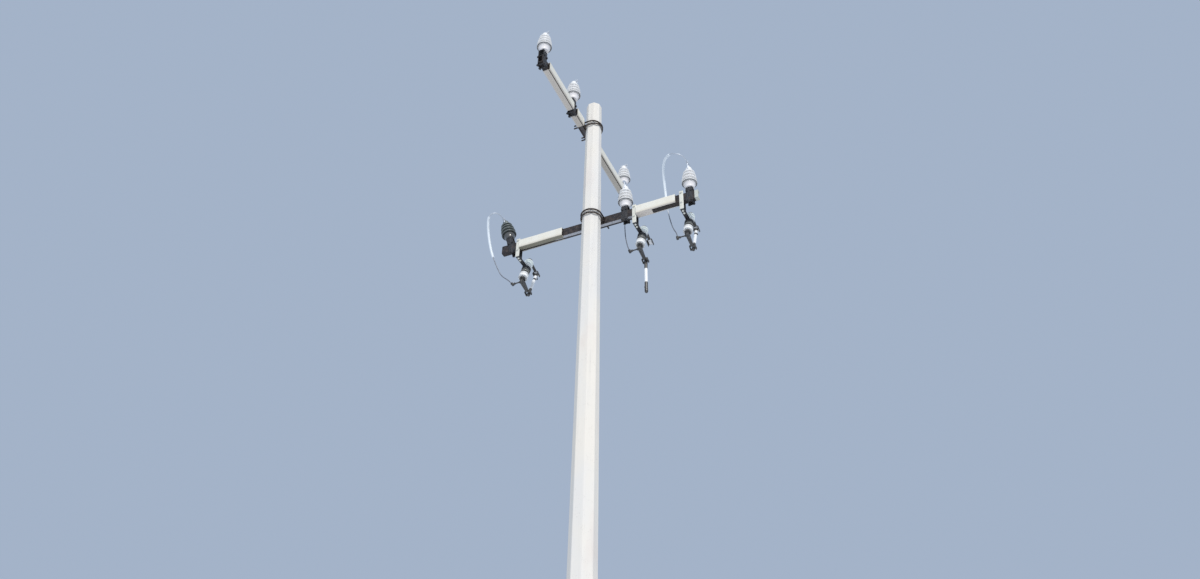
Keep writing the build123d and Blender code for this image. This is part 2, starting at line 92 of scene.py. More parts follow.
# %% Camera
photo_width = 1200
focal_pixels = 1016.4
axis_column = 622.0
camera_place = (3.236, -6.770, 1.573)
camera_heading = math.radians(23.20)
camera_rise = math.radians(38.87)


def added(name, data):
    """A new object that holds this data, in the scene."""
    made = bpy.data.objects.new(name, data)
    bpy.context.scene.collection.objects.link(made)
    return made


camera_data = bpy.data.cameras.new("photo_camera")
camera_data.sensor_width = 36.0
camera_data.lens = focal_pixels / photo_width * camera_data.sensor_width
camera_data.shift_x = (photo_width / 2 - axis_column) / photo_width
camera = added("photo_camera", camera_data)
camera.location = camera_place
camera.rotation_euler = (math.pi / 2 + camera_rise, 0, camera_heading)
bpy.context.scene.camera = camera
print("lens", round(camera_data.lens, 2), "mm")

# %% [markdown]
# Frames
# The same stands, posts and cutouts sit at several places and angles. Objects could be turned and moved, but
# then their patterns would turn with them. A frame is an origin and three directions, and here it is a
# function: it takes local points in metres and returns them in the model's own space. The arms' frames come
# from the boxes of the packed channels: X runs along the arm, Y away from the pole and Z up.

# %% Frames of the arms
def seat(origin, x=(1, 0, 0), y=(0, 1, 0), z=(0, 0, 1)):
    """Frame: local point (a, b, c) goes to origin + a x + b y + c z, for whole arrays at once."""
    start = np.array(origin, float)
    axes = np.array([x, y, z], float)
    return lambda points: start + np.asarray(points, float) @ axes


def turned_axes(axes, lean):
    """Directions turned about the second one: x goes to cos x - sin z, and z to sin x + cos z."""
    cosine = math.cos(math.radians(lean))
    sine = math.sin(math.radians(lean))
    x, y, z = np.array(axes, float)
    return cosine * x - sine * z, y, sine * x + cosine * z


low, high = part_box("lower_arm_channel")
arm_half_height = (high.z - low.z) / 2
arm_depth = high.y - low.y
lower_origin = np.array((0, low.y, (low.z + high.z) / 2))
low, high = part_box("upper_arm_channel")
upper_origin = np.array((high.x, 0, (low.z + high.z) / 2))
arm_origin = {"lower": lower_origin, "upper": upper_origin}
arm_axes = {"lower": ((1, 0, 0), (0, 1, 0), (0, 0, 1)), "upper": ((0, 1, 0), (-1, 0, 0), (0, 0, 1))}
print("arms at", round(float(lower_origin[2]), 3), "and", round(float(upper_origin[2]), 3), "m")

# %% [markdown]
# Places on the arms
# Each insulator stands on a folded plate over its arm, and each cutout hangs from a strap on the lower arm.
# Their places could be typed in, but the packed plates and pins say them already, so they are read there.
# The left post of the lower arm leans outwards about the foot of its stand. The middle and right posts of the
# lower arm sit a little lower than the clamps over them, and drop_of says how much.

# %% Frames of the posts and cutouts
left_post_lean = -16.0
stand_top = 105 * MM + arm_half_height
stand_foot = 32 * MM + arm_half_height
post_toward_pole = {"upper": 12 * MM, "lower": 0.0}
lowered_posts = {("lower", "middle"), ("lower", "right")}
post_drop = 38 * MM
clamp_middle = arm_half_height + 404.2 * MM


def drop_of(arm, place):
    """How far a post sits below its usual height."""
    return post_drop if (arm, place) in lowered_posts else 0.0


def post_frames(arm, place):
    """Frames of a stand and of the post on it, both at the arm's mid height."""
    lean = left_post_lean if (arm, place) == ("lower", "left") else 0.0
    box_low, box_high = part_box(f"{arm}_stand_{place}")
    way = 0 if arm == "lower" else 1
    along = (box_low[way] + box_high[way]) / 2 - math.sin(math.radians(lean)) * (stand_top - stand_foot) / 2
    x, y, z = np.array(arm_axes[arm], float)
    origin = arm_origin[arm] + along * x + arm_depth / 2 * y
    axes = turned_axes(arm_axes[arm], lean)
    return seat(origin, *axes), seat(origin - post_toward_pole[arm] * y, *axes)


places = {"upper": ("near", "inner", "far"), "lower": ("left", "middle", "right")}
stand_seats, post_seats = {}, {}
for arm, names in places.items():
    for place in names:
        stand_seats[arm, place], post_seats[arm, place] = post_frames(arm, place)

cutout_tilt = math.radians(20)
hinge_out = 172 * MM
hinge_down = 213 * MM
out_axis = np.array((0, math.cos(cutout_tilt), -math.sin(cutout_tilt)))
up_axis = np.array((0, math.sin(cutout_tilt), math.cos(cutout_tilt)))
pins, cutout_seats = {}, {}
for joint in frame["joints"]:
    place = joint["child"].split("_")[-1]
    pins[place] = np.array(joint["pos_m"], float)
    middle = pins[place] - hinge_out * out_axis + hinge_down * up_axis
    cutout_seats[place] = seat(middle, (1, 0, 0), out_axis, up_axis)
print("cutouts at", {place: round(float(pin[0]), 3) for place, pin in pins.items()})

# %% [markdown]
# Jumper wires
# Each wire goes through the air from an insulator's clamp to a cutout's terminal. It could be a chain of
# straight runs and arcs, but that looks bent. One NURBS line only pulls towards its control points, so about
# a dozen of them make a believable stiff wire. The points are measured from the cutout's place on the arm, in
# millimetres. Each holds the wire's radius, and the bevel's depth of 1 leaves it as it is.

# %% Routes of the wires
wire_diameter = 10 * MM
wire_lead = 50 * MM
clamp_half = 48 * MM
terminal_half = 18 * MM
terminal_at = (-100 * MM, 0, -238 * MM)
wire_side = {"left": -1, "middle": 1, "right": -1}
wire_arrival = {"left": (-0.60, -0.25, 0.76), "middle": (-0.34, 0.09, 0.94), "right": (-0.12, 0.05, 0.99)}
wire_route = {
    "left": [(-216, -112, 436), (-246, -142, 431), (-288, -150, 413), (-320, -126, 371), (-334, -94, 313),
             (-340, -64, 247), (-338, -38, 167), (-329, -12, 75), (-310, 14, -25), (-283, 40, -115),
             (-252, 62, -203), (-216, 82, -283)],
    "middle": [(-118, 162, 422), (-140, 180, 362), (-162, 178, 280), (-172, 170, 175), (-174, 162, 70),
               (-168, 155, -35), (-161, 148, -140), (-145, 138, -240)],
    "right": [(70, -114, 454), (38, -140, 463), (-7, -144, 487), (-52, -118, 527), (-89, -70, 568),
              (-139, -28, 591), (-178, 16, 575), (-201, 58, 511), (-210, 94, 419), (-211, 118, 314),
              (-209, 132, 210), (-204, 138, 95), (-193, 140, -13), (-175, 138, -121), (-154, 134, -218),
              (-130, 128, -285)],
}
print("free points of the routes:", {place: len(route) for place, route in wire_route.items()})

# %% Wires
def unit(vectors):
    """Vectors divided by their own lengths."""
    return vectors / np.linalg.norm(vectors, axis=-1, keepdims=True)


def wire_points(place):
    """Clamp end, a straight lead, the free points, and a straight lead into the terminal's clamp."""
    from_clamp = wire_side[place] * np.array((clamp_half, clamp_half + wire_lead))
    first = post_seats["lower", place]([(0, reach, clamp_middle) for reach in from_clamp])
    start = lower_origin + (pins[place][0], 0, 0)
    free = start + np.array(wire_route[place]) * MM
    back = unit(np.array(wire_arrival[place]))
    end = cutout_seats[place](terminal_at)
    last = [end + back * (terminal_half + wire_lead), end + back * terminal_half]
    return np.vstack([first, free, last])


wires = {}
for place in places["lower"]:
    route = wire_points(place)
    curve = bpy.data.curves.new(f"jumper_{place}_wire", "CURVE")
    curve.dimensions = "3D"
    curve.resolution_u = 16
    curve.bevel_depth = 1.0
    curve.bevel_resolution = 5
    curve.use_fill_caps = True
    spline = curve.splines.new("NURBS")
    spline.points.add(len(route) - 1)
    spline.points.foreach_set("co", np.c_[route, np.ones(len(route))].ravel())
    spline.points.foreach_set("radius", np.full(len(route), wire_diameter / 2))
    spline.order_u = 3
    spline.use_endpoint_u = True
    wire = added(f"jumper_{place}_wire", curve)
    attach(wire, "pole_and_arms")
    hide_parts(f"jumper_{place}")
    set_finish(wire, "wire_aluminium")
    wires[place] = wire
    print("wire", place, "has", len(route), "control points")

# %% [markdown]
# Surfaces from arrays
# The castings, plates and porcelain could each be built from primitives and modifiers. Here every one is a
# grid of points instead, rows along it and columns around it, because one function then makes every mesh.
# The columns always close into a ring. The rows close too on a ring, and otherwise each end gets one flat
# face. Six times the enclosed volume is the sum of a . (b x c) over the triangles: where it is negative the
# faces point inwards, so they are turned round.

# %% Grid to mesh
def shell(points, ring=False):
    """Closed surface from a grid (rows, columns, 3): neighbours make four-sided faces, all outwards."""
    rows, columns = points.shape[:2]
    index = np.arange(rows * columns).reshape(rows, columns)
    if ring:
        index = np.vstack([index, index[:1]])
    beside = np.roll(index, -1, axis=1)
    quads = np.stack([index[:-1], beside[:-1], beside[1:], index[1:]], axis=-1).reshape(-1, 4)
    caps = [] if ring else [index[0, ::-1], index[-1]]
    flat = points.reshape(-1, 3)
    a, b, c, d = (flat[quads[:, k]] for k in range(4))
    volume = np.sum(a * np.cross(b, c)) + np.sum(a * np.cross(c, d))
    for cap in caps:
        rest = flat[cap]
        volume += np.sum(rest[0] * np.cross(rest[1:-1], rest[2:]))
    if volume < 0:
        quads = quads[:, ::-1]
        caps = [cap[::-1] for cap in caps]
    return flat, quads, caps


def shells(at, grids):
    """Several closed grids, each carried into a frame and made a shell."""
    return [shell(at(grid)) for grid in grids]


print("a grid of 2 rows and 3 columns has", len(shell(np.zeros((2, 3, 3)))[1]), "sides")

# %% Shells to a piece
def piece(name, parts, nodes, slot, body="pole_and_arms", marks=None, sharp=35):
    """One object from several shells. marks names point attributes, each with one array per shell."""
    points, faces, start = [], [], 0
    for flat, quads, caps in parts:
        points.append(flat)
        faces += (quads + start).tolist() + [(cap + start).tolist() for cap in caps]
        start += len(flat)
    mesh = bpy.data.meshes.new(name)
    mesh.from_pydata(np.vstack(points).tolist(), [], faces)
    mesh.shade_smooth()
    mesh.set_sharp_from_angle(angle=math.radians(sharp))
    for mark, arrays in (marks or {}).items():
        kept = mesh.attributes.new(mark, "FLOAT", "POINT")
        values = np.concatenate([a.ravel() for a in arrays])
        kept.data.foreach_set("value", values.astype(np.float32))
    made = added(name, mesh)
    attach(made, body)
    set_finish(made, slot)
    if nodes:
        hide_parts(*nodes)
    return made


# %% [markdown]
# Hoses on the jumpers
# The upper stretch of two jumpers is thick and pale: a length of split hose is pushed over the wire to keep
# birds safe. A thicker bevel on the same curve would swell the whole wire, so the hose is a mesh. It follows
# the wire's own smooth line, which is read back from the curve before it has a thickness, and a circle is
# carried along it. A fixed direction crossed with the tangent keeps the circle from twisting.

# %% Hoses
hose_radius = 14 * MM
hose_mouth = 3 * MM
mouth_start = 0.15
hose_taper = 2 * MM
hose_ripple, ripples_per_metre = 0.3 * MM, 90
hose_from_x = {"left": -1.175, "right": 0.850}
hose_down_to = {"left": 8.50, "right": 8.62}


def circle(radius, count=24):
    """Points radius * (cos t, sin t) at even angles t."""
    t = np.linspace(0, 2 * math.pi, count, endpoint=False)
    return radius * np.stack([np.cos(t), np.sin(t)], axis=-1)


def line_of(wire):
    """Points of a wire's smooth line, from a mesh of the curve without its bevel."""
    depth, wire.data.bevel_depth = wire.data.bevel_depth, 0
    mesh = bpy.data.meshes.new_from_object(wire)
    wire.data.bevel_depth = depth
    points = np.empty(3 * len(mesh.vertices))
    mesh.vertices.foreach_get("co", points)
    bpy.data.meshes.remove(mesh)
    return points.reshape(-1, 3)


def hose(line, rows=90, around=20):
    """Circle along a line: its radius varies with a small sine, and is rounded off at both mouths."""
    walked = np.concatenate([[0], np.cumsum(np.linalg.norm(np.diff(line, axis=0), axis=1))])
    length = walked[-1]
    mouth = hose_mouth * (1 - np.sin(np.linspace(mouth_start, math.pi / 2, 5)))
    middle = np.linspace(hose_mouth, length - hose_mouth, rows)
    at = np.unique(np.concatenate([mouth, middle, length - mouth]))
    line = np.stack([np.interp(at, walked, line[:, k]) for k in range(3)], axis=-1)
    tangent = unit(np.gradient(line, axis=0))
    side = unit(np.cross((0, 1, 0), tangent))
    normal = np.cross(tangent, side)
    from_end = np.minimum(np.minimum(at, length - at) / hose_mouth, 1)
    rounding = hose_taper * (1 - np.sqrt(1 - (1 - from_end) ** 2))
    radius = (hose_radius - rounding + hose_ripple * np.sin(at * ripples_per_metre))[:, None, None]
    ring = circle(1.0, around)[None]
    return line[:, None] + radius * (ring[..., :1] * side[:, None] + ring[..., 1:] * normal[:, None])


for place, wire in wires.items():
    if place in hose_from_x:
        line = line_of(wire)
        covered = line[(line[:, 0] < hose_from_x[place]) & (line[:, 2] > hose_down_to[place])]
        piece(f"jumper_{place}_hose", [shell(hose(covered))], [], "wire_aluminium")
    wire_points(place)[0]

# %% [markdown]
# The pole
# The real pole is one concrete casting from an eight-sided mould, with soft arrises where the mould's walls
# met. A loft between two octagons would be too perfect, so each row of the grid is an octagon with rounded
# corners, scaled by the taper, and a few slow waves move the surface in and out by half a millimetre.

# %% Pole
low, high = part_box("pole")
pole_height = high.z
base_half = high.x
top_half = 153 * MM / 2
arris = 11 * MM
rim = 9 * MM
wave = 0.5 * MM


def between(first, last, share):
    """Straight mix: first where share is 0, last where it is 1."""
    return first * (1 - share) + last * share


def lifted(loops, heights):
    """Flat loops (rows, columns, 2), each row at its own height."""
    return np.concatenate([loops, np.broadcast_to(heights[:, None, None], loops.shape[:2] + (1,))], axis=-1)


def pole_grid(rows=420, per_flat=8, per_arris=6):
    """Corner k of a row is an arc of the arris radius about (a - arris) / cos(22.5 deg) along its direction.
    Every point then moves along its own radius by a sum of sines of its angle and height."""
    eighth = math.pi / 4
    turn = np.linspace(-eighth / 2, eighth / 2, per_arris)
    corner = (np.arange(8) + 0.5)[:, None] * eighth
    direction = np.stack([np.cos(corner), np.sin(corner)], axis=-1)
    arc = arris * np.stack([np.cos(corner + turn), np.sin(corner + turn)], axis=-1)
    curl = np.linspace(0, math.pi / 2, 5)[1:]
    shoulder = pole_height - rim
    heights = np.concatenate([np.linspace(0, shoulder, rows), shoulder + rim * np.sin(curl)])
    inset = np.concatenate([np.zeros(rows), rim * (1 - np.cos(curl))])
    half = between(base_half, top_half, heights / pole_height) - inset
    arcs = (half - arris)[:, None, None, None] / math.cos(eighth / 2) * direction[None] + arc[None]
    share = np.linspace(0, 1, per_flat + 2)[1:-1][None, None, :, None]
    flats = between(arcs[:, :, -1:], np.roll(arcs, -1, axis=1)[:, :, :1], share)
    loop = np.concatenate([arcs, flats], axis=2).reshape(len(heights), -1, 2)
    angle = np.arctan2(loop[..., 1], loop[..., 0])
    up = heights[:, None]
    ripple = np.sin(3 * angle + 2.1 * up) + 0.6 * np.sin(5 * angle - 5.3 * up + 1.0)
    ripple += 0.4 * np.sin(17 * up + 2 * angle)
    loop *= 1 + wave / 2 * (ripple - 1)[..., None] / np.linalg.norm(loop, axis=-1, keepdims=True)
    return lifted(loop, heights)


pole = piece("pole_casting", [shell(pole_grid())], ["pole"], "concrete", sharp=50)
print("pole", len(pole.data.vertices), "points")

# %% [markdown]
# Sleeves on the arms
# A sleeve is a box of folded sheet with a gap along its underside, through which the dark channel shows.
# A box with a Solidify modifier could do, but then the gap's lips would be square and even. Here the section
# is a flat path with a wall: out along the outside, round one lip and back along the inside.

# %% Section of a sleeve
sleeve_wall = 4 * MM
sleeve_corner = 9 * MM


def folded(depth, height, corner, near_lip, far_lip):
    """Rounded rectangle opened along its bottom between the lips, one loop per row: (rows, points, 2)."""
    half = np.array([depth / 2, height / 2])
    signs = np.array([(-1, -1), (-1, 1), (1, 1), (1, -1)])
    angles = np.array([3, 2, 1, 0])[:, None] * math.pi / 2 - np.linspace(0, math.pi / 2, 7)
    arcs = signs[:, None] * (half - corner) + corner * np.stack([np.cos(angles), np.sin(angles)], axis=-1)
    share = np.linspace(0, 1, 10)[1:-1, None]
    walls = [np.vstack([arcs[k], between(arcs[k][-1], arcs[k + 1][0], share)]) for k in range(3)]
    fixed = np.vstack(walls + [arcs[3]])
    floor_share = np.linspace(0, 1, 8)[None]
    near = between(near_lip[:, None], fixed[0, 0], floor_share[:, :-1])
    far = between(fixed[-1, 0], far_lip[:, None], floor_share[:, 1:])
    floors = [np.stack([x, np.full_like(x, -height / 2)], axis=-1) for x in (near, far)]
    return np.concatenate([floors[0], np.broadcast_to(fixed, (len(near),) + fixed.shape), floors[1]], axis=1)


def lip(outer, inner, way):
    """Half circle round the edge of the sheet, from the outer point to the inner one."""
    t = np.linspace(0, math.pi, 5)[1:-1]
    round_it = np.stack([way * np.sin(t), -np.cos(t)], axis=-1) * sleeve_wall / 2
    return ((outer + inner) / 2)[:, None] + round_it[None]


print("a sleeve's sheet is", sleeve_wall / MM, "mm thick")

# %% [markdown]
# Gaps of the sleeves
# Most gaps are even, but on the lower arm's right side the gap is narrow for the first stretch and wide for
# the rest. Two sleeves end to end would show a joint there, so each lip's place is a function of the distance
# along the arm instead, and one grid has both widths.

# %% Lips of the gaps
seam_edges = (9.5 * MM, 21 * MM)
slot_edges = (36 * MM, 10 * MM)
thin_seam, seam_growth = 14 * MM, 58 * MM
growth_start, growth_step = 0.394, 0.004
sleeve_wave = 0.6 * MM


def seam_near(share, depth):
    """A gap just behind the face that looks at the pole."""
    return [np.full_like(share, edge - depth / 2) for edge in seam_edges]


def slot_far(share, depth):
    """A wider gap near the side away from the pole."""
    return [np.full_like(share, depth / 2 - edge) for edge in slot_edges]


def slot_growing(share, depth):
    """A thin seam for two fifths of the length, then a gap over most of the underside."""
    wide = np.clip((share - growth_start) / growth_step, 0, 1)
    return depth / 2 - thin_seam - wide * seam_growth, np.full_like(share, depth / 2 - slot_edges[1])


print("the growing gap is thin for", growth_start, "of its sleeve's length")

# %% Sleeves
def along_x(points):
    """Local X, Y and Z turned to point along Y, Z and X."""
    return points[..., [2, 0, 1]]


def sleeve_grid(depth, height, length, lips, rows=90):
    """Rows along the sleeve: the outer path, a round lip, and the inner path back to the first lip.
    Each row is lifted by a sine of its place along the sleeve."""
    step = growth_start + growth_step * np.arange(-1, 3)
    share = np.unique(np.concatenate([np.linspace(0, 1, rows), step]))
    near_lip, far_lip = lips(share, depth)
    wall = 2 * sleeve_wall
    outer = folded(depth, height, sleeve_corner, near_lip, far_lip)
    inner = folded(depth - wall, height - wall, sleeve_corner - sleeve_wall, near_lip, far_lip)
    far_edge = lip(outer[:, -1], inner[:, -1], -1)
    near_edge = lip(outer[:, 0], inner[:, 0], 1)[:, ::-1]
    loops = np.concatenate([outer, far_edge, inner[:, ::-1], near_edge], axis=1)
    loops[..., 1] += sleeve_wave * np.sin(3 * math.pi * share + 1)[:, None]
    return along_x(lifted(loops, (share - 0.5) * length))


# The second number is how dark each sleeve's underside is, partly soot and partly painted shade.
sleeves = {
    "lower_arm_sleeve_left": (slot_far, 0.9),
    "lower_arm_sleeve_right": (slot_growing, 0.10),
    "upper_arm_sleeve_near": (seam_near, 0.25),
    "upper_arm_sleeve_inner": (seam_near, 0.35),
    "upper_arm_sleeve_far": (seam_near, 0.5),
}
for node, (lips, soot) in sleeves.items():
    low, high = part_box(node)
    size = high - low
    arm = node.split("_")[0]
    length, depth = (size.x, size.y) if arm == "lower" else (size.y, size.x)
    local = sleeve_grid(depth, size.z, length, lips)
    grid = seat((low + high) / 2, *arm_axes[arm])(local)
    marks = {"rise": [local[..., 2] / (size.z / 2)], "soot": [np.full(local.shape[:2], soot)],
             "across": [local[..., 1] / (depth / 2)]}
    piece(f"{node}_skin", [shell(grid)], [node], "cream_sleeve", marks=marks, sharp=40)
    print(node, "is", round(length, 3), "m long")

# %% [markdown]
# Sweeps and turned work
# Bolts, rods and porcelain are turned on a lathe or bent from bar. A curve object with a bevel can make both,
# but its section can't change on the way, so a profile is carried round an axis, and a section along a path,
# by short functions on whole arrays. Sharp edges catch no light, so every edge is eased a little.

# %% Sweeps
def turned(profile, count=64):
    """Lathe: a (radius, height) profile carried round Z."""
    profile = np.asarray(profile, float)
    return lifted(profile[:, :1, None] * circle(1.0, count)[None], profile[:, 1])


def carried(path, side, loops):
    """A loop carried along a flat path: first coordinate along side, second along side x tangent."""
    path = np.asarray(path, float)
    side = np.asarray(side, float)
    normal = np.cross(side, unit(np.gradient(path, axis=0)))
    loops = np.broadcast_to(loops, (len(path),) + np.shape(loops)[-2:])
    return path[:, None] + loops[..., :1] * side + loops[..., 1:] * normal[:, None]


def curve_between(start, pull, end, count=8):
    """Quadratic curve (1-t)^2 start + 2t(1-t) pull + t^2 end."""
    t = np.linspace(0, 1, count)[:, None]
    return (1 - t) ** 2 * np.array(start) + 2 * t * (1 - t) * np.array(pull) + t ** 2 * np.array(end)


def along_y(points, x, y, z, back=False):
    """Local Z turned to point along Y, or back along it, then moved to (x, y, z)."""
    a, b, c = points[..., 0], points[..., 1], points[..., 2]
    turned_points = np.stack([a, -c, b] if back else [a, c, -b], axis=-1)
    return turned_points + np.array((x, y, z))


print("a lathe grid has", turned([(1, 0), (1, 1)]).shape, "numbers")

# %% Bolts, nuts and washers
def hexagon(across, height, edge=1.5 * MM, count=48):
    """Hex head: radius a / cos of the angle off the nearest flat, cut back to a cone at both ends."""
    t = np.linspace(0, 2 * math.pi, count, endpoint=False)
    off = np.mod(t + math.pi / 6, math.pi / 3) - math.pi / 6
    flat = across / 2 / np.cos(off)
    cone_reach = 1.01
    ends = np.minimum(flat, across / 2 * cone_reach) - edge / 3
    radius = np.array([ends, flat, flat, ends])
    ring = np.stack([radius * np.cos(t), radius * np.sin(t)], axis=-1)
    return lifted(ring, np.array([0, edge, height - edge, height]))


def threaded(radius, length, pitch=2 * MM, depth=0.6 * MM, count=20):
    """Bolt end: the radius falls and rises along a helix, with the phase height / pitch - angle / turn.
    The last turn is cut down, as a lead for the nut."""
    rows_per_turn = 6
    lead = 0.86
    z = np.linspace(0, length, int(length / pitch * rows_per_turn))[:, None]
    t = np.linspace(0, 2 * math.pi, count, endpoint=False)[None]
    phase = np.mod(z / pitch - t / (2 * math.pi), 1)
    r = radius - depth * (1 - np.abs(2 * phase - 1))
    r *= np.where(z > length - pitch, lead, 1.0)
    return np.stack([r * np.cos(t), r * np.sin(t), np.broadcast_to(z, r.shape)], axis=-1)


def disc(radius, height, ease, count):
    """Washer or pin: a short cylinder, a millimetre smaller at both ends over the height ease."""
    return turned([(radius - MM, 0), (radius, ease), (radius, height - ease), (radius - MM, height)], count)


print("a bolt head has", hexagon(24 * MM, 9 * MM).shape, "numbers")

# %% [markdown]
# U-bolts and nuts
# Round bar bent round the pole, with both legs through the arm. The bar is a circle carried along a path:
# straight, half circle, straight. The last stretch of each leg is threaded, so its radius follows a helix.
# Two stiff copies of one bar would be too tidy. The upper pair has slipped until the two bends nearly touch,
# so its bars close up with the distance from the arm, along a curve through a given lift at mid way.

# %% U-bolts
rod_radius = 8 * MM
rod_lift = 20 * MM
arm_wall = 6 * MM
nut_washer_radius, nut_washer_height = 17 * MM, 4 * MM
nut_across, nut_height = 27 * MM, 14 * MM
thread_start = 2 * MM
mid_lift = {"lower": 22 * MM, "upper": 25 * MM}
bend_lift = {"lower": 22 * MM, "upper": 10 * MM}


def rod_path(leg, axis_distance):
    """One leg, a half circle about the pole's axis, and the other leg, in an arm's frame."""
    bend = np.linspace(0, math.pi, 60)
    arc = np.stack([-leg * np.cos(bend), -axis_distance - leg * np.sin(bend), 0 * bend], axis=-1)
    straight = np.array([(-leg, thread_start, 0), (-leg, -axis_distance / 2, 0)])
    return np.vstack([straight, arc, straight[::-1] * (-1, 1, 1)])


def lift_along(arm, share):
    """Half the distance between the two bars, as share goes from 0 at the arm to 1 at the bend."""
    pull = 2 * mid_lift[arm] - (rod_lift + bend_lift[arm]) / 2
    spread = curve_between((rod_lift,), (pull,), (bend_lift[arm],), 50)
    return np.interp(share, np.linspace(0, 1, len(spread)), spread[:, 0])


for arm, origin in arm_origin.items():
    low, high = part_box(f"{arm}_u_bolts")
    width, reach = (high.x - low.x, high.y) if arm == "lower" else (high.y - low.y, -low.x)
    leg = width / 2 - rod_radius
    axis_distance = abs(origin[1] if arm == "lower" else origin[0])
    path = rod_path(leg, axis_distance)
    away = np.clip(-path[:, 1] / (axis_distance + leg), 0, 1)
    rods, nuts = [], []
    for way in (-1, 1):
        rod = carried(path, (0, 0, 1), circle(rod_radius, 20))
        rod[..., 2] += way * lift_along(arm, away)[:, None]
        rods.append(rod)
        for side in (-leg, leg):
            end = threaded(rod_radius, reach - axis_distance - thread_start)
            rods.append(along_y(end, side, thread_start, way * rod_lift))
            washer = disc(nut_washer_radius, nut_washer_height, 0.8 * MM, 36)
            nuts.append(along_y(washer, side, arm_wall, way * rod_lift))
            nut = hexagon(nut_across, nut_height)
            nuts.append(along_y(nut, side, arm_wall + nut_washer_height, way * rod_lift))
    at = seat(origin, *arm_axes[arm])
    piece(f"{arm}_u_bolts_bar", shells(at, rods), [f"{arm}_u_bolts"], "dark_rod")
    piece(f"{arm}_u_bolt_nuts_hex", shells(at, nuts), [f"{arm}_u_bolt_nuts"], "dark_rod")
    print(arm, "U-bolt legs stand", round(2 * leg, 3), "m apart")

# %% [markdown]
# Stands
# Each post insulator stands on a strip of thick plate folded over the arm, with bolts above and below it. A
# folded strip could be a bent cube, but its bends would need loop cuts. Here the fold is a flat path with two
# arcs, and a rounded rectangle is carried along it.

# %% Bent plate
def rounded_rectangle(width, height, corner, steps=5):
    """Four quarter circles of the corner radius, each about its own corner's centre."""
    quarter = np.arange(4)[:, None] * math.pi / 2 + np.linspace(0, math.pi / 2, steps)
    centres = np.array([(1, 1), (-1, 1), (-1, -1), (1, -1)]) * (width / 2 - corner, height / 2 - corner)
    arcs = corner * np.stack([np.cos(quarter), np.sin(quarter)], axis=-1)
    return (centres[:, None] + arcs).reshape(-1, 2)


def bent(corners, radius, steps=7):
    """Path through corner points whose inner corners are arcs of one radius."""
    corners = np.asarray(corners, float)
    path = [corners[:1]]
    for before, corner, after in zip(corners, corners[1:], corners[2:]):
        back, on = unit(before - corner), unit(after - corner)
        half = math.acos(np.clip(back @ on, -1, 1)) / 2
        inwards = unit(back + on)
        centre = corner + inwards * radius / math.sin(half)
        sweep = np.linspace(half - math.pi / 2, math.pi / 2 - half, steps)[:, None]
        path.append(centre + radius * (np.sin(sweep) * unit(on - back) - np.cos(sweep) * inwards))
    return np.vstack(path + [corners[-1:]])


print("a square bend has", len(bent([(1, 0), (0, 0), (0, 1)], 0.1)), "points")

# %% Stands
stand_width, stand_plate = 70 * MM, 6 * MM
stand_gap, stand_bend = 0.3 * MM, 9 * MM
plate_edge = 1.6 * MM
bolt_x = 23 * MM
bolt_z = arm_half_height + 16 * MM
bolt_radius, bolt_end = 7 * MM, 16 * MM
washer_height = 2.6 * MM
bolt_head_height = 9 * MM
bolt_washer = disc(14 * MM, washer_height, 0.6 * MM, 32)
bolt_head = hexagon(21 * MM, bolt_head_height)


def bolt_thread(length):
    """The end of a bolt that shows past its nut."""
    return threaded(bolt_radius, length, count=16)


def shank(length):
    """The plain stretch of a bolt."""
    return turned([(bolt_radius, 0), (bolt_radius, length)], 20)


def head_on_washer(x, y, z, back=False):
    """A washer on a face that looks along Y, or back along it, and a hexagon on the washer."""
    head_y = y - washer_height if back else y + washer_height
    return [along_y(bolt_washer, x, y, z, back), along_y(bolt_head, x, head_y, z, back)]


def through_bolt(x, z, front, back):
    """Washer, head and shank from front to back along Y, then washer, nut and a threaded end."""
    first = head_on_washer(x, front, z, back=True) + [along_y(shank(back - front), x, front, z)]
    return first + head_on_washer(x, back, z) + [along_y(bolt_thread(bolt_end), x, back, z)]


plate_middle = arm_depth / 2 + stand_gap + stand_plate / 2
plate_face = plate_middle + stand_plate / 2
for (arm, place), at in stand_seats.items():
    top = stand_top - drop_of(arm, place) - stand_plate / 2
    corners = [(0, -plate_middle, -stand_foot), (0, -plate_middle, top), (0, plate_middle, top),
               (0, plate_middle, -stand_foot)]
    section = rounded_rectangle(stand_width, stand_plate, plate_edge)
    parts = [carried(bent(corners, stand_bend), (1, 0, 0), section)]
    for x in (-bolt_x, bolt_x):
        for z in (-bolt_z, bolt_z):
            parts += through_bolt(x, z, -plate_face, plate_face)
    piece(f"{arm}_stand_{place}_plate", shells(at, parts), [f"{arm}_stand_{place}"], "dark_steel")
print("six stands,", round((stand_top + stand_foot) / MM), "mm tall or a little less")

# %% [markdown]
# Post insulators
# Porcelain is turned on a lathe, so a profile carried round an axis is the true way to make it. It could be
# drawn as one outline by hand, but a row of like sheds is a loop. Each shed has a drooping underside, a thick
# round rim and a dished top, and each of those is one short curve.

# %% Profiles of porcelain
def shed(core, radius, base, pitch, edge):
    """Profile of one shed, from the core out along the underside, round the rim and back up to the core."""
    root_low, root_high = base + edge * 0.9, base + pitch * 0.97
    under_pull = core + (radius - core) * 0.35, base + edge * 1.5
    above_pull = core + (radius - core) * 0.30, base + pitch * 0.55
    rim_start, rim_middle = radius - edge / 2, base + edge
    t = np.linspace(-math.pi / 2, math.pi / 2, 7)
    under = curve_between((core, root_low), under_pull, (rim_start, rim_middle - edge / 2))
    rounded = np.stack([rim_start + edge / 2 * np.cos(t), rim_middle + edge / 2 * np.sin(t)], axis=-1)
    above = curve_between((rim_start, rim_middle + edge / 2), above_pull, (core, root_high))
    return np.vstack([under, rounded[1:-1], above])


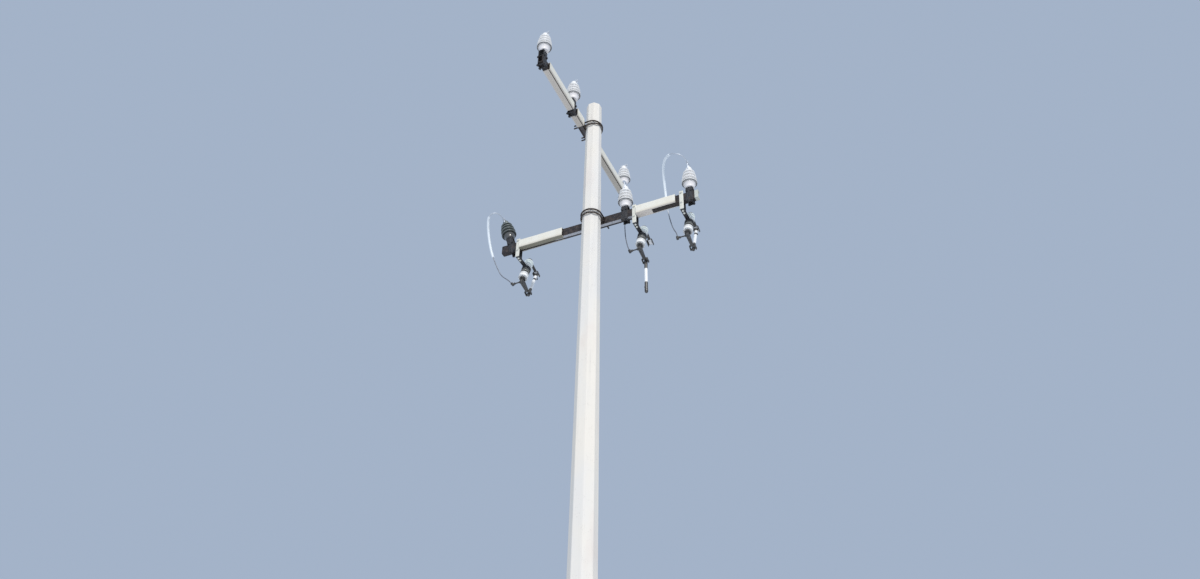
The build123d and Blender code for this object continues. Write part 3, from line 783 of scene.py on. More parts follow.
def rounded_step(radius, low_z, high_z, edge=3 * MM):
    """A short cylinder's outline with both edges eased by a quarter circle."""
    t = np.linspace(0, math.pi / 2, 4)
    lower = np.stack([radius - edge + edge * np.sin(t), low_z + edge * (1 - np.cos(t))], axis=-1)
    upper = np.stack([radius - edge + edge * np.cos(t), high_z - edge * (1 - np.sin(t))], axis=-1)
    return np.vstack([lower, upper])


print("a shed has", len(shed(1, 2, 0, 1, 0.2)), "points in its profile")

# %% Insulators
cap_radius, cap_height = 48 * MM, 46 * MM
ring_radius, ring_height = 60 * MM, 9 * MM
core_radius = 43 * MM
shed_radii = np.array((79, 77, 71, 61)) * MM
shed_pitch, shed_edge = 46 * MM, 17 * MM
groove_radius, groove_height = 26 * MM, 12 * MM
head_radius, head_height = 33 * MM, 38 * MM

cap_top = stand_top + cap_height
shed_start = cap_top + ring_height
groove_low = shed_start + len(shed_radii) * shed_pitch
groove_middle = groove_low + groove_height / 2
head_low = groove_low + groove_height
head_top = head_low + head_height
cap_foot = [(cap_radius * 0.2, stand_top), (cap_radius - 5 * MM, stand_top)]
flare = curve_between((cap_radius - 2 * MM, stand_top + 3 * MM), (cap_radius, stand_top + 34 * MM),
                      (ring_radius - 1 * MM, cap_top))
sheds = [shed(core_radius, radius, shed_start + k * shed_pitch, shed_pitch, shed_edge)
         for k, radius in enumerate(shed_radii)]
groove = curve_between((core_radius - 2 * MM, groove_low), (groove_radius - 4 * MM, groove_middle),
                       (head_radius - 2 * MM, head_low))
crown = curve_between((head_radius, head_low + 4 * MM), (head_radius, head_top), (head_radius / 2, head_top))
post_profile = np.vstack([cap_foot, flare, rounded_step(ring_radius, cap_top, shed_start)] + sheds
                         + [[(core_radius, groove_low)], groove, crown, [(head_radius * 0.1, head_top)]])
post_shape = turned(post_profile, 96)
post_level = post_shape[..., 2] - stand_top
for (arm, place), at in post_seats.items():
    glaze = "dark_porcelain" if (arm, place) == ("lower", "left") else "pale_porcelain"
    post = at(post_shape - (0, 0, drop_of(arm, place)))
    piece(f"{arm}_insulator_{place}_glaze", [shell(post)], [f"{arm}_insulator_{place}"], glaze,
          marks={"rise": [post_level]}, sharp=50)
print("a post stands", round((head_top - stand_top) / MM), "mm tall with", len(shed_radii), "sheds")

# %% [markdown]
# Ties and clamps
# A soft wire is wound twice round the groove and twisted up to a two-bolt clamp on a stud over the head.
# A winding could be one long helix, but two rings side by side look the same from a few metres. A ring is a
# small circle carried round the axis, and where a post sits lower its stud is longer.

# %% Bars and rings
def eased(reach, edge, steps=4):
    """Insets and heights of the rows of a solid whose two ends follow a quarter circle of radius edge."""
    t = np.linspace(0, math.pi / 2, steps)
    inset = edge * (1 - np.sin(t))
    height = reach - edge * (1 - np.cos(t))
    return np.concatenate([inset, inset[::-1]]), np.concatenate([-height, height[::-1]])


def bar(width, height, length, corner, edge=1.2 * MM):
    """Rounded bar centred on the origin along Z: each row is its section, smaller by the row's inset."""
    insets, heights = eased(length / 2, edge)
    loops = [rounded_rectangle(width - 2 * e, height - 2 * e, max(corner - e, corner / 4)) for e in insets]
    return lifted(np.array(loops), heights)


def hoop(radius, wire_radius, z, count=72):
    """Ring of round wire: a circle in (distance from axis, height) carried round Z."""
    return turned(circle(wire_radius, 12) + (radius, z), count)


print("a bar has", len(bar(10 * MM, 20 * MM, 30 * MM, 2 * MM)), "rows")

# %% Ties
tie_radius = 3 * MM
tie_clear, tie_pitch = 1.2 * MM, 5.2 * MM
riser_kick, riser_bend, twist = 5 * MM, 4 * MM, 4.5 * MM
clamp_width, clamp_length, clamp_height = 24 * MM, 96 * MM, 20 * MM
clamp_low = head_top + 0.2 * MM
clamp_top = clamp_low + clamp_height
jaw_height = clamp_height / 2
stud_radius, stud_sink = 9 * MM, 6 * MM
tie_bolt_head = hexagon(13 * MM, 8 * MM)
tie_bolt_thread = threaded(4 * MM, 16 * MM, 1.6 * MM, 0.5 * MM, 12)


def tie_parts(drop):
    """Two hoops in the groove; and a stud, twisted risers, the clamp's halves and its bolts."""
    ring = groove_radius + tie_radius + tie_clear
    middle = groove_middle - drop
    hoops = [hoop(ring, tie_radius, middle + lift) for lift in (-tie_pitch / 2, tie_pitch / 2)]
    stud_low = head_top - drop - stud_sink
    stud = [(stud_radius * 0.9, stud_low), (stud_radius, stud_low + MM), (stud_radius, clamp_low + MM)]
    parts = [turned(stud, 24)]
    reach = head_radius + 2 * tie_radius
    for side in (-1, 1):
        spine = bent([(0, side * ring, middle), (0, side * reach, middle + riser_kick),
                      (0, side * reach, clamp_low + jaw_height)], riser_bend)
        for shift in (0, twist):
            parts.append(carried(spine + (shift, 0, 0), (1, 0, 0), circle(tie_radius, 12)))
    for z in (clamp_low + jaw_height / 2, clamp_low + 1.5 * jaw_height):
        parts.append(along_y(bar(clamp_width, jaw_height - 1 * MM, clamp_length, 3 * MM, 2.5 * MM), 0, 0, z))
    for y in (-clamp_length / 4, clamp_length / 4):
        parts.append(tie_bolt_head + (0, y, clamp_top))
        parts.append(tie_bolt_thread + (0, y, clamp_top))
    return hoops, parts


for (arm, place), at in post_seats.items():
    hoops, parts = tie_parts(drop_of(arm, place))
    made = [shell(at(p), ring=True) for p in hoops] + shells(at, parts)
    piece(f"{arm}_tie_{place}_wire", made, [f"{arm}_tie_{place}"], "wire_aluminium")
print("six ties with", len(hoops) + len(parts), "pieces each")

# %% [markdown]
# Straps and brackets of the cutouts
# Two bolts pinch the arm between a bright strap in front and a dark plate behind. A bar runs back under the
# arm to a band round the cutout's porcelain. Cubes with a Bevel modifier would look the same as these bars,
# but the short functions that make the clamps make them too.

# %% Straps
strap_width, strap_plate, strap_corner = 42 * MM, 8 * MM, 2 * MM
strap_up, strap_down = 86 * MM, 150 * MM
strap_length = strap_up + strap_down
strap_middle = (strap_up - strap_down) / 2
strap = bar(strap_width, strap_plate, strap_length, strap_corner)
foot_bolts = (26 * MM, 62 * MM)

for place, pin in pins.items():
    parts = [strap + (0, -strap_plate / 2, strap_middle)]
    for z in (-bolt_z, bolt_z):
        parts += head_on_washer(0, -strap_plate, z, back=True)
    for y in foot_bolts:
        parts.append(bolt_head + (0, y, -strap_down - bolt_head_height))
    at = seat(lower_origin + (pin[0], 0, 0))
    piece(f"cutout_strap_{place}_plate", shells(at, parts), [f"cutout_strap_{place}"], "galvanised")
print("three straps, each", round(strap_length / MM), "mm tall")

# %% Brackets
foot_bar = 10 * MM
cutout_out = 200 * MM
band_radius, band_height = 38 * MM, 34 * MM
band_wall = foot_bar - 0.6 * MM
ear_width, ear_plate, ear_apart, ear_out = 18 * MM, 8 * MM, 13 * MM, 14 * MM
nut_end = 20 * MM

foot_length = cutout_out - band_radius * 0.9
foot_grid = bar(strap_width, foot_bar, foot_length, strap_corner)
foot_grid = along_y(foot_grid, 0, foot_length / 2, foot_bar / 2 - strap_down)
band = turned(rounded_rectangle(band_wall, band_height, strap_corner) + (band_radius + foot_bar / 2, 0), 72)
ears = [bar(ear_width, ear_plate, band_height, strap_corner) + (x, -band_radius - ear_out, 0)
        for x in (-ear_apart / 2, ear_apart / 2)]
for place, pin in pins.items():
    back_y = arm_depth + strap_plate
    parts = [strap + (0, arm_depth + strap_plate / 2, strap_middle), foot_grid]
    for z in (-bolt_z, bolt_z):
        parts.append(along_y(shank(arm_depth), 0, 0, z))
        parts.append(along_y(bolt_head, 0, back_y, z))
        parts.append(along_y(bolt_thread(nut_end), 0, back_y, z))
    in_cutout = cutout_seats[place]
    made = shells(seat(lower_origin + (pin[0], 0, 0)), parts)
    made += [shell(in_cutout(band), ring=True)] + shells(in_cutout, ears)
    piece(f"cutout_bracket_{place}_steel", made, [f"cutout_bracket_{place}"], "dark_steel")
print("three brackets with bands", round(2 * band_radius / MM), "mm across")

# %% [markdown]
# Cutout bodies
# A cutout's porcelain is another lathe profile, with a plain middle for the band and three sheds on each
# side. The lowest shed is a bell that covers the end. It could be a shed with a longer rim, but a curve from
# its lip to the core gives the smooth shoulder that light runs along.

# %% Cutout bodies
body_half = 165 * MM
body_core, body_shed = 27 * MM, 48 * MM
body_pitch, body_edge = 40 * MM, 13 * MM
sheds_each_side = 3
shed_lift = 8 * MM
waist_half = band_height * 0.62

bell_height = 62 * MM
bell_low = -body_half
bell = np.vstack([
    [(body_core, bell_low + 12 * MM)],
    curve_between((body_core + 2 * MM, bell_low + 14 * MM), (body_shed - 10 * MM, bell_low + 14 * MM),
                  (body_shed - 5 * MM, bell_low + 1 * MM), 6),
    curve_between((body_shed - 3 * MM, bell_low), (body_shed, bell_low), (body_shed, bell_low + 4 * MM), 5),
    curve_between((body_shed, bell_low + 6 * MM), (body_shed - 1 * MM, bell_low + bell_height),
                  (body_core, bell_low + bell_height + 4 * MM), 12)])
lower_bases = [bell_low + k * body_pitch + shed_lift for k in range(1, sheds_each_side)]
upper_bases = [body_half - k * body_pitch for k in range(sheds_each_side, 0, -1)]
lower_sheds = [shed(body_core, body_shed, base, body_pitch, body_edge) for base in lower_bases]
upper_sheds = [shed(body_core, body_shed, base, body_pitch, body_edge) for base in upper_bases]
waist = rounded_step(band_radius - 0.2 * MM, -waist_half, waist_half)
low_end = [(body_core * 0.2, -body_half), (body_core, -body_half)]
high_end = [(body_core, body_half), (body_core * 0.2, body_half)]
body_profile = np.vstack([low_end, bell] + lower_sheds + [waist] + upper_sheds + [high_end])
body_shape = turned(body_profile, 80)
for place, at in cutout_seats.items():
    piece(f"cutout_body_{place}_glaze", [shell(at(body_shape))], [f"cutout_body_{place}"], "cutout_porcelain",
          marks={"rise": [body_shape[..., 2]]}, sharp=50)
print("cutout bodies", round(2 * body_half / MM), "mm long")

# %% [markdown]
# Castings of the cutouts
# Each body ends in two castings. The upper one holds a hood and a bright contact over the fuse tube, and the
# lower one has two cheeks for the tube's pin and a stud for the wire. Real castings are cleaned-up lumps, so
# booleans of boxes would do, but plates cut to an outline and turned caps say the same with clean edges.

# %% Plates with an outline
def rounded_outline(corners, radius, steps=5):
    """Closed outline through corner points, with every corner an arc of one radius."""
    corners = np.asarray(corners, float)
    middle = (corners[-1] + corners[0]) / 2
    return bent(np.vstack([middle, corners, middle]), radius, steps)[:-1]


def box_outline(low_y, high_y, middle_z, half, radius):
    """Rounded outline of an upright rectangle."""
    low_z, high_z = middle_z - half, middle_z + half
    return rounded_outline([(low_y, low_z), (high_y, low_z), (high_y, high_z), (low_y, high_z)], radius)


def slab(outline, thickness, edge=1.5 * MM):
    """Plate across X with an outline in (Y, Z): each row is the outline, moved inwards by its inset."""
    ahead = unit(np.roll(outline, -1, axis=0) - np.roll(outline, 1, axis=0))
    inwards = np.stack([-ahead[:, 1], ahead[:, 0]], axis=-1)
    area = np.sum(outline[:, 0] * np.roll(outline[:, 1], -1) - np.roll(outline[:, 0], -1) * outline[:, 1])
    insets, heights = eased(thickness / 2, edge)
    return along_x(lifted(outline[None] + insets[:, None, None] * inwards[None] * np.sign(area), heights))


print("a plate has", len(slab(box_outline(0, 1, 0, 0.5, 0.1), 0.1)), "rows")

# %% Top contacts
casting_radius = 31 * MM
cap_ease = 2 * MM
arm_z = body_half + 16 * MM
arm_width, arm_plate, arm_over = 30 * MM, 8 * MM, 6 * MM
rib_start, rib_deep, rib_thin, rib_top = 20 * MM, 9 * MM, 1 * MM, 5 * MM
rib_wall, small_corner, arm_corner = 6 * MM, 1.5 * MM, 2.5 * MM
hood_near, hood_far = 139 * MM, 205 * MM
hood_half, hood_plate, hood_drop, hood_bend = 30 * MM, 5 * MM, 26 * MM, 7 * MM
tongue_width, tongue_plate, tongue_length, tongue_lift = 34 * MM, 2.4 * MM, 60 * MM, 1.6 * MM


def contact_parts():
    """Top casting: a cap, a ribbed arm and a folded hood over the tube; and a bright tongue in the hood."""
    cap = np.vstack([[(casting_radius * 0.3, body_half)], rounded_step(casting_radius, body_half, arm_z),
                     rounded_step(casting_radius * 0.8, arm_z, arm_z + arm_plate, cap_ease),
                     [(casting_radius * 0.2, arm_z + arm_plate)]])
    reach = hood_near + arm_over
    beam = along_y(bar(arm_width, arm_plate, reach, arm_corner), 0, reach / 2, arm_z + arm_plate / 2)
    rib = rounded_outline([(rib_start, arm_z - rib_deep), (hood_near, arm_z + rib_thin),
                           (hood_near, arm_z + rib_top), (rib_start, arm_z + rib_top)], small_corner)
    side, top = hood_half - hood_plate / 2, arm_z + arm_plate - hood_plate / 2
    middle, foot = (hood_near + hood_far) / 2, arm_z - hood_drop
    fold = [(-side, middle, foot), (-side, middle, top), (side, middle, top), (side, middle, foot)]
    section = rounded_rectangle(hood_far - hood_near, hood_plate, small_corner)
    hood = carried(bent(fold, hood_bend), (0, 1, 0), section)
    tongue = bar(tongue_width, tongue_plate, tongue_length, 1 * MM, 0.6 * MM)
    return [turned(cap, 48), beam, slab(rib, rib_wall), hood], along_y(tongue, 0, middle, arm_z + tongue_lift)


castings, tongue = contact_parts()
for place, at in cutout_seats.items():
    bright = [np.zeros(grid.shape[:2]) for grid in castings] + [np.ones(tongue.shape[:2])]
    piece(f"cutout_contact_{place}_cast", shells(at, castings + [tongue]), [f"cutout_contact_{place}"],
          "contact_metal", marks={"bright": bright})
print("top castings with", len(castings) + 1, "shapes each")

# %% Wire clamps
barrel_bore, barrel_radius = 5 * MM, 14 * MM
screw_out, screw_half_apart = 12 * MM, 9 * MM
barrel = rounded_step(barrel_radius, -terminal_half, terminal_half)
barrel = np.vstack([[(barrel_bore, -terminal_half)], barrel, [(barrel_bore, terminal_half)]])
screw = hexagon(10 * MM, 6 * MM, MM)
clamp_parts = [turned(barrel, 32)]
clamp_parts += [along_y(screw, 0, screw_out, z) for z in (-screw_half_apart, screw_half_apart)]


def clamp_seat(place):
    """Frame of the barrel clamp round a wire's end, in line with the wire."""
    back = unit(np.array(wire_arrival[place]))
    x = unit(np.cross(back, (0, 1, 0)))
    return seat(cutout_seats[place](terminal_at), x, np.cross(back, x), back)


print("a wire clamp has", len(clamp_parts), "shapes")

# %% Hinges
foot_cap = 22 * MM
neck_width, neck_ease = 26 * MM, 4 * MM
neck_half, neck_down, neck_up, neck_over = 13 * MM, 86 * MM, 4 * MM, 4 * MM
cheek_gap, cheek_wall = 48 * MM, 7 * MM
cheek_near, cheek_far, cheek_half = 132 * MM, 188 * MM, 17 * MM
cheek_corner = 12 * MM
terminal_stud, stud_length, stud_pitch, stud_depth = 7 * MM, 100 * MM, 3 * MM, 0.8 * MM
stud_nuts, stud_nut_across, stud_nut_height = (-13 * MM, -70 * MM), 22 * MM, 11 * MM
boss_profile = [(9 * MM, 0), (10 * MM, 1 * MM), (10 * MM, 3 * MM)]


def hinge_parts():
    """Bottom casting: a cap, a neck out to a root, two cheeks with bosses, and a stud with nuts."""
    cap_low = -body_half - foot_cap
    cap_side = rounded_step(casting_radius, cap_low, -body_half, neck_ease)
    cap = np.vstack([[(casting_radius * 0.2, cap_low)], cap_side, [(casting_radius * 0.3, -body_half)]])
    root_far, low = cheek_near + neck_over, -body_half - neck_down
    neck = rounded_outline([(-neck_half, -body_half - neck_up), (-neck_half, low), (neck_half, low),
                            (root_far, -hinge_down - cheek_half), (root_far, -hinge_down + cheek_half),
                            (casting_radius, -body_half - foot_cap / 2)], neck_ease)
    outer = cheek_gap / 2 + cheek_wall
    root = box_outline(cheek_near, cheek_near + cheek_wall, -hinge_down, cheek_half, small_corner)
    parts = [turned(cap, 48), slab(neck, neck_width, neck_ease), slab(root, 2 * outer, 2 * MM)]
    cheek = slab(box_outline(cheek_near, cheek_far, -hinge_down, cheek_half, cheek_corner), cheek_wall)
    boss = along_x(turned(boss_profile, 24))
    for side in (-1, 1):
        parts.append(cheek + (side * (outer - cheek_wall / 2), 0, 0))
        parts.append(boss * (side, 1, 1) + (side * outer, hinge_out, -hinge_down))
    stud = along_x(threaded(terminal_stud, stud_length, stud_pitch, stud_depth, 16)) * (-1, 1, 1)
    nut = along_x(hexagon(stud_nut_across, stud_nut_height)) * (-1, 1, 1)
    return parts + [stud + (0, 0, terminal_at[2])] + [nut + (x, 0, terminal_at[2]) for x in stud_nuts]


castings = hinge_parts()
for place, at in cutout_seats.items():
    made = shells(at, castings) + shells(clamp_seat(place), clamp_parts)
    piece(f"cutout_hinge_{place}_cast", made, [f"cutout_hinge_{place}"], "contact_metal")
print("bottom castings with", len(castings) + len(clamp_parts), "shapes each")

# %% [markdown]
# Fuse tubes
# Between the castings is a fibre tube with metal ends: a foot that turns on a pin, and a top with a pull
# ring. The two closed tubes and the one that hangs open could be three models, but they are one shape in
# three frames, whose Z runs along the tube. The pale stretches of the fibre are a mark that the finish reads.

# %% Fuse tubes
tube_length = 388 * MM
tube_radius, ferrule_radius = 16.5 * MM, 17.5 * MM
ferrule_height = 40 * MM
foot_below, foot_height = 22 * MM, 62 * MM
tip_height = 8 * MM
row_spacing = 8 * MM
pin_radius, pin_half = 6 * MM, 31 * MM
ring_outer, ring_wire, ring_down = 17 * MM, 7 * MM, 34 * MM
pale_middle, pale_top = (0.25, 0.68), (0.76, 0.89)

foot_top = foot_height - foot_below
ferrule_low = tube_length - ferrule_height
tip_low = tube_length - tip_height
tube_profile = np.vstack([
    [(ferrule_radius * 0.3, -foot_below)], rounded_step(ferrule_radius, -foot_below, foot_top),
    [(tube_radius, foot_top + 1 * MM), (tube_radius, ferrule_low - 1 * MM)],
    rounded_step(ferrule_radius, ferrule_low, tip_low, 2 * MM),
    rounded_step(ferrule_radius - 3 * MM, tip_low, tube_length, 2 * MM),
    [(ferrule_radius * 0.3, tube_length)]])
tube_rows = [tube_profile[0]]
for start, end in zip(tube_profile[:-1], tube_profile[1:]):
    steps = max(int(abs(end[1] - start[1]) / row_spacing), 1)
    tube_rows += list(start + (end - start) * k / steps for k in range(1, steps + 1))
tube_shape = turned(tube_rows, 48)
pin = along_x(disc(pin_radius, 2 * pin_half, MM, 24)) - (pin_half, 0, 0)
ring_middle = ring_outer - ring_wire / 2
eye = along_x(hoop(ring_middle, ring_wire / 2, 0))
eye = eye + (0, ferrule_radius + ring_middle, tube_length - ring_down)
level = tube_shape[..., 2] / tube_length
for joint in frame["joints"]:
    place = joint["child"].split("_")[-1]
    closed = joint["range_deg"][1] > 0
    axes = (out_axis, up_axis) if closed else ((0, -1, 0), (0, 0, -1))
    at = seat(pins[place], (1, 0, 0), *axes)
    made = shells(at, [tube_shape, pin]) + [shell(at(eye), ring=True)]
    stretches = [pale_middle, pale_top] if closed else [pale_middle]
    pale = sum((level > first) & (level < last) for first, last in stretches) * 1.0
    marks = {"pale": [pale, np.zeros(pin.shape[:2]), np.zeros(eye.shape[:2])]}
    piece(f"fuse_tube_{place}_barrel", made, [f"fuse_tube_{place}"], "fuse_fibre", f"fuse_tube_{place}",
          marks=marks)
print("fuse tubes", round(tube_length / MM), "mm long")

# %% [markdown]
# Writing materials as arithmetic
# A node tree is a formula drawn as boxes. It could be clicked together in the editor, but as text it can be
# read and changed in one place. A Value wraps an output socket, and each Python operator on it adds a Math
# node. Coloured results go through Mix nodes, because a Math node keeps only grey. One method makes every
# node: its type, its settings, then what goes into its sockets.

# %% Sockets that add up
class Value:
    """An output socket in arithmetic. Numbers on either side work, so 1 - mask is one Math node."""

    def __init__(self, paint, socket):
        self.paint = paint
        self.socket = socket

    def math(self, operation, *others):
        return self.paint.node("ShaderNodeMath", {"operation": operation}, dict(enumerate((self, *others))))

    def __add__(self, other):
        return self.math("ADD", other)

    __radd__ = __add__

    def __mul__(self, other):
        return self.math("MULTIPLY", other)

    __rmul__ = __mul__

    def __sub__(self, other):
        return self.math("SUBTRACT", other)

    def __rsub__(self, other):
        return self.paint.node("ShaderNodeMath", {"operation": "SUBTRACT"}, {0: other, 1: self})


print("a value knows", [name for name in vars(Value) if name.startswith("__r")])

# %% Nodes from one method
class Paint:
    """A node tree being written."""

    def __init__(self, tree):
        self.tree = tree
        tree.nodes.clear()

    def node(self, kind, settings=None, inputs=None, output=0):
        """Make a node, set it up, feed its sockets with numbers, colours or Values, and wrap one output."""
        made = self.tree.nodes.new(kind)
        for key, value in (settings or {}).items():
            setattr(made, key, value)
        for key, value in (inputs or {}).items():
            if isinstance(value, Value):
                self.tree.links.new(value.socket, made.inputs[key])
            elif made.inputs[key].type == "RGBA":
                made.inputs[key].default_value = (*value, 1)
            else:
                made.inputs[key].default_value = value
        return Value(self, made.outputs[output]) if len(made.outputs) else None

    def place(self):
        """Object coordinates: the model's own metres."""
        return self.node("ShaderNodeTexCoord", output=3)

    def noise(self, scale, detail=3.0, stretch=(1, 1, 1)):
        """Cloudy value from 0 to 1, scale cycles per metre, on coordinates scaled by a factor per axis."""
        vector = self.node("ShaderNodeMapping", inputs={"Vector": self.place(), "Scale": stretch})
        return self.node("ShaderNodeTexNoise", inputs={"Vector": vector, "Scale": scale, "Detail": detail,
                                                       "Roughness": 0.55})

    def cells(self, scale):
        """Distance to the nearest of many scattered points."""
        return self.node("ShaderNodeTexVoronoi", inputs={"Vector": self.place(), "Scale": scale})

    def ramp(self, value, low, high, start=0.0, end=1.0):
        """Smooth step from start to end as value goes from low to high."""
        return self.node("ShaderNodeMapRange", {"interpolation_type": "SMOOTHSTEP"},
                         {"Value": value, "From Min": low, "From Max": high, "To Min": start, "To Max": end})

    def patches(self, scale, low, high, detail=5.0, stretch=(1, 1, 1)):
        """Soft-edged patches: a noise stepped smoothly from low to high."""
        return self.ramp(self.noise(scale, detail, stretch), low, high)

    def layers(self, colour, *coats):
        """A colour with coats over it, each a mask and the colour that shows where the mask is 1."""
        for mask, over in coats:
            inputs = {0: mask, 6: colour, 7: over}
            colour = self.node("ShaderNodeMix", {"data_type": "RGBA"}, inputs, output=2)
        return colour

    def facing(self, axis):
        """How far the surface faces along an axis of the object, from -1 to 1."""
        normal = self.node("ShaderNodeTexCoord", output=1)
        return self.node("ShaderNodeSeparateXYZ", inputs={0: normal}, output=axis)

    def where(self, axis):
        """One object coordinate, in metres."""
        return self.node("ShaderNodeSeparateXYZ", inputs={0: self.place()}, output=axis)

    def mark(self, name):
        """One of the piece's own point attributes."""
        return self.node("ShaderNodeAttribute", {"attribute_name": name}, output=2)

    def surface(self, colour, rough, height, depth):
        """A shader's inputs: colour, roughness, and a normal bent by a height that swings by depth metres."""
        bump = self.node("ShaderNodeBump", inputs={"Height": height, "Distance": depth, "Strength": 1.0})
        return {"Base Color": colour, "Roughness": rough, "Normal": bump}

    def grained(self, colour, mask, rough, grain, depth, stretch=(1, 1, 1)):
        """Surface whose roughness goes between two values with a mask, and whose height is a fine grain."""
        roughness = self.ramp(mask, 0.0, 1.0, *rough)
        return self.surface(colour, roughness, self.noise(grain, stretch=stretch), depth)


def finish_of(name, write):
    """New material: write(paint) returns the shader's inputs by socket name."""
    material = bpy.data.materials.new(name)
    material.use_nodes = True
    paint = Paint(material.node_tree)
    shader = paint.node("ShaderNodeBsdfPrincipled", inputs=write(paint))
    paint.node("ShaderNodeOutputMaterial", inputs={"Surface": shader})
    print(name, "has", len(material.node_tree.nodes), "nodes")
    return material


print("a paint can make", [name for name in vars(Paint) if not name.startswith("_")])

# %% [markdown]
# Concrete
# The cast concrete is cream with cool and pinkish clouds, rain streaks that run down it, a sandy grain and
# small air pits. A photograph of concrete could be wrapped round it, but would repeat and stretch. Noise on
# the model's own metres does neither, and a small factor on Z draws a noise out into clouds or streaks.

# %% Concrete
def concrete(p):
    """Clouds, streaks and sand tint the cream, and pits are cells that only some patches keep."""
    clouds = p.patches(2.2, 0.35, 0.65, 3.0, (1, 1, 0.5))
    warm = p.patches(5.0, 0.5, 0.72, 4.0, (1, 1, 0.35))
    streaks = p.patches(34.0, 0.56, 0.78, 5.0, (1, 1, 0.03))
    sand = p.noise(420.0)
    holes = p.ramp(p.cells(95.0), 0.10, 0.20, 1.0, 0.0) * p.patches(16.0, 0.52, 0.60, 2.0)
    colour = p.layers((0.87, 0.82, 0.75), (clouds, (0.81, 0.79, 0.77)), (warm * 0.5, (0.81, 0.72, 0.67)),
                      (streaks * 0.35, (0.56, 0.54, 0.52)), (sand * 0.22, (0.64, 0.62, 0.59)),
                      (holes * 0.7, (0.36, 0.34, 0.32)))
    return p.surface(colour, p.ramp(sand, 0.3, 0.7, 0.78, 0.92), sand * 0.35 + (1 - holes), 0.8 * MM)


finishes = {"concrete": finish_of("cast_concrete", concrete)}

# %% [markdown]
# Steel of the arms
# The channels are near-black, partly weathered steel and partly painted shade. Seen from below, the lower one
# has a pale strip on its underside beside the web, which is painted bounce light broken into patches, and the
# upper one a pale far end. Separate pieces could carry those tones, but a mask is simpler: a smooth step of
# the distance from the web, of the way the surface faces, and of the place along the arm, all multiplied.

# %% Steel of the arms
lit_strip_end = (0.44, 0.47)
lit_strip_edge = (0.030, 0.038)
pale_end = (1.066, 1.070)


def arm_steel(axis, web, toward, lit_strip_share):
    """Near-black steel, partly painted shade; painted bounce light on the strip where down, beside the web
    and near the pole are all 1.
    """
    def write(p):
        blotch = p.patches(40.0, 0.35, 0.70)
        near_pole = p.ramp(p.where(1 - axis).math("ABSOLUTE"), *lit_strip_end, 1.0, 0.0)
        beside = p.ramp((p.where(axis) - web) * toward, *lit_strip_edge, 1.0, 0.0)
        strip = beside * p.ramp(p.facing(2), -0.9, -0.5, 1.0, 0.0) * near_pole
        bounce_lit_patches = strip * p.patches(25.0, 0.28, 0.46, 4.0, (0.3, 0.3, 1))
        end = p.ramp(p.where(1 - axis), *pale_end)
        # The near-black base is partly painted shade, and the pale coat on the strip is painted bounce light.
        colour = p.layers((0.030, 0.027, 0.030), (blotch, (0.085, 0.068, 0.062)),
                          (bounce_lit_patches * lit_strip_share, (0.52, 0.53, 0.57)), (end * 0.85, (0.74, 0.76, 0.70)))
        return p.grained(colour, blotch, (0.55, 0.8), 300.0, 0.3 * MM) | {"Metallic": 0.4}
    return write


own_finishes = {
    "lower_arm_channel": finish_of("lower_arm_steel", arm_steel(1, float(lower_origin[1]), 1, 0.9)),
    "upper_arm_channel": finish_of("upper_arm_steel", arm_steel(0, float(upper_origin[0]), -1, 0.1)),
}

# %% [markdown]
# Steel, zinc and bronze
# The fittings have four metals: dark plate with rust, dark bar, bright zinc and dull castings. The plate's
# near-black tone is partly painted shade, for the shade that falls on the stands and brackets. A mirror-like
# metal with a scratch map would be too new for them. Each is a mostly matt surface with a little metal in it,
# two close tones in blotches, and a fine grain that breaks up the highlights.

# %% Steel fittings
def dark_steel(p):
    """Near-black plate, partly painted shade, with blotches, some rust and paler streaks."""
    blotch = p.patches(60.0, 0.40, 0.70)
    rust = p.patches(22.0, 0.58, 0.74, 6.0)
    streak = p.patches(80.0, 0.55, 0.75, 4.0, (1, 1, 0.08))
    # The near-black base is partly painted shade; the rust and streaks are the plate's own.
    colour = p.layers((0.030, 0.031, 0.034), (blotch, (0.075, 0.072, 0.078)),
                      (rust * 0.6, (0.13, 0.075, 0.05)), (streak * 0.35, (0.16, 0.16, 0.17)))
    return p.grained(colour, blotch, (0.5, 0.75), 350.0, 0.25 * MM) | {"Metallic": 0.3}


def dark_rod(p):
    """Brown-black bar with paler blotches."""
    blotch = p.patches(70.0, 0.40, 0.70)
    colour = p.layers((0.045, 0.038, 0.036), (blotch, (0.13, 0.095, 0.075)))
    return p.grained(colour, blotch, (0.45, 0.75), 400.0, 0.2 * MM) | {"Metallic": 0.5}


def galvanised(p):
    """Pale zinc whose flakes are cells, with yellowish grime."""
    flakes = p.cells(120.0)
    grime = p.patches(30.0, 0.50, 0.75)
    colour = p.layers((0.86, 0.85, 0.78), (p.ramp(flakes, 0.0, 0.6), (0.76, 0.75, 0.68)),
                      (grime * 0.5, (0.52, 0.49, 0.40)))
    return p.surface(colour, p.ramp(flakes, 0.0, 0.6, 0.4, 0.6), flakes, 0.15 * MM) | {"Metallic": 0.1}


def contact_metal(p):
    """Dull casting with green patches, and bright where the piece is marked so."""
    blotch = p.patches(80.0, 0.40, 0.70)
    green = p.patches(50.0, 0.60, 0.75, 4.0)
    colour = p.layers((0.050, 0.050, 0.052), (blotch, (0.15, 0.14, 0.13)), (green * 0.4, (0.18, 0.22, 0.19)),
                      (p.mark("bright"), (0.90, 0.90, 0.92)))
    return p.grained(colour, blotch, (0.45, 0.7), 500.0, 0.2 * MM) | {"Metallic": 0.3}


finishes["dark_steel"] = finish_of("dark_plate_steel", dark_steel)
finishes["dark_rod"] = finish_of("dark_rod_steel", dark_rod)
finishes["galvanised"] = finish_of("zinc_coat", galvanised)
finishes["contact_metal"] = finish_of("dull_casting", contact_metal)
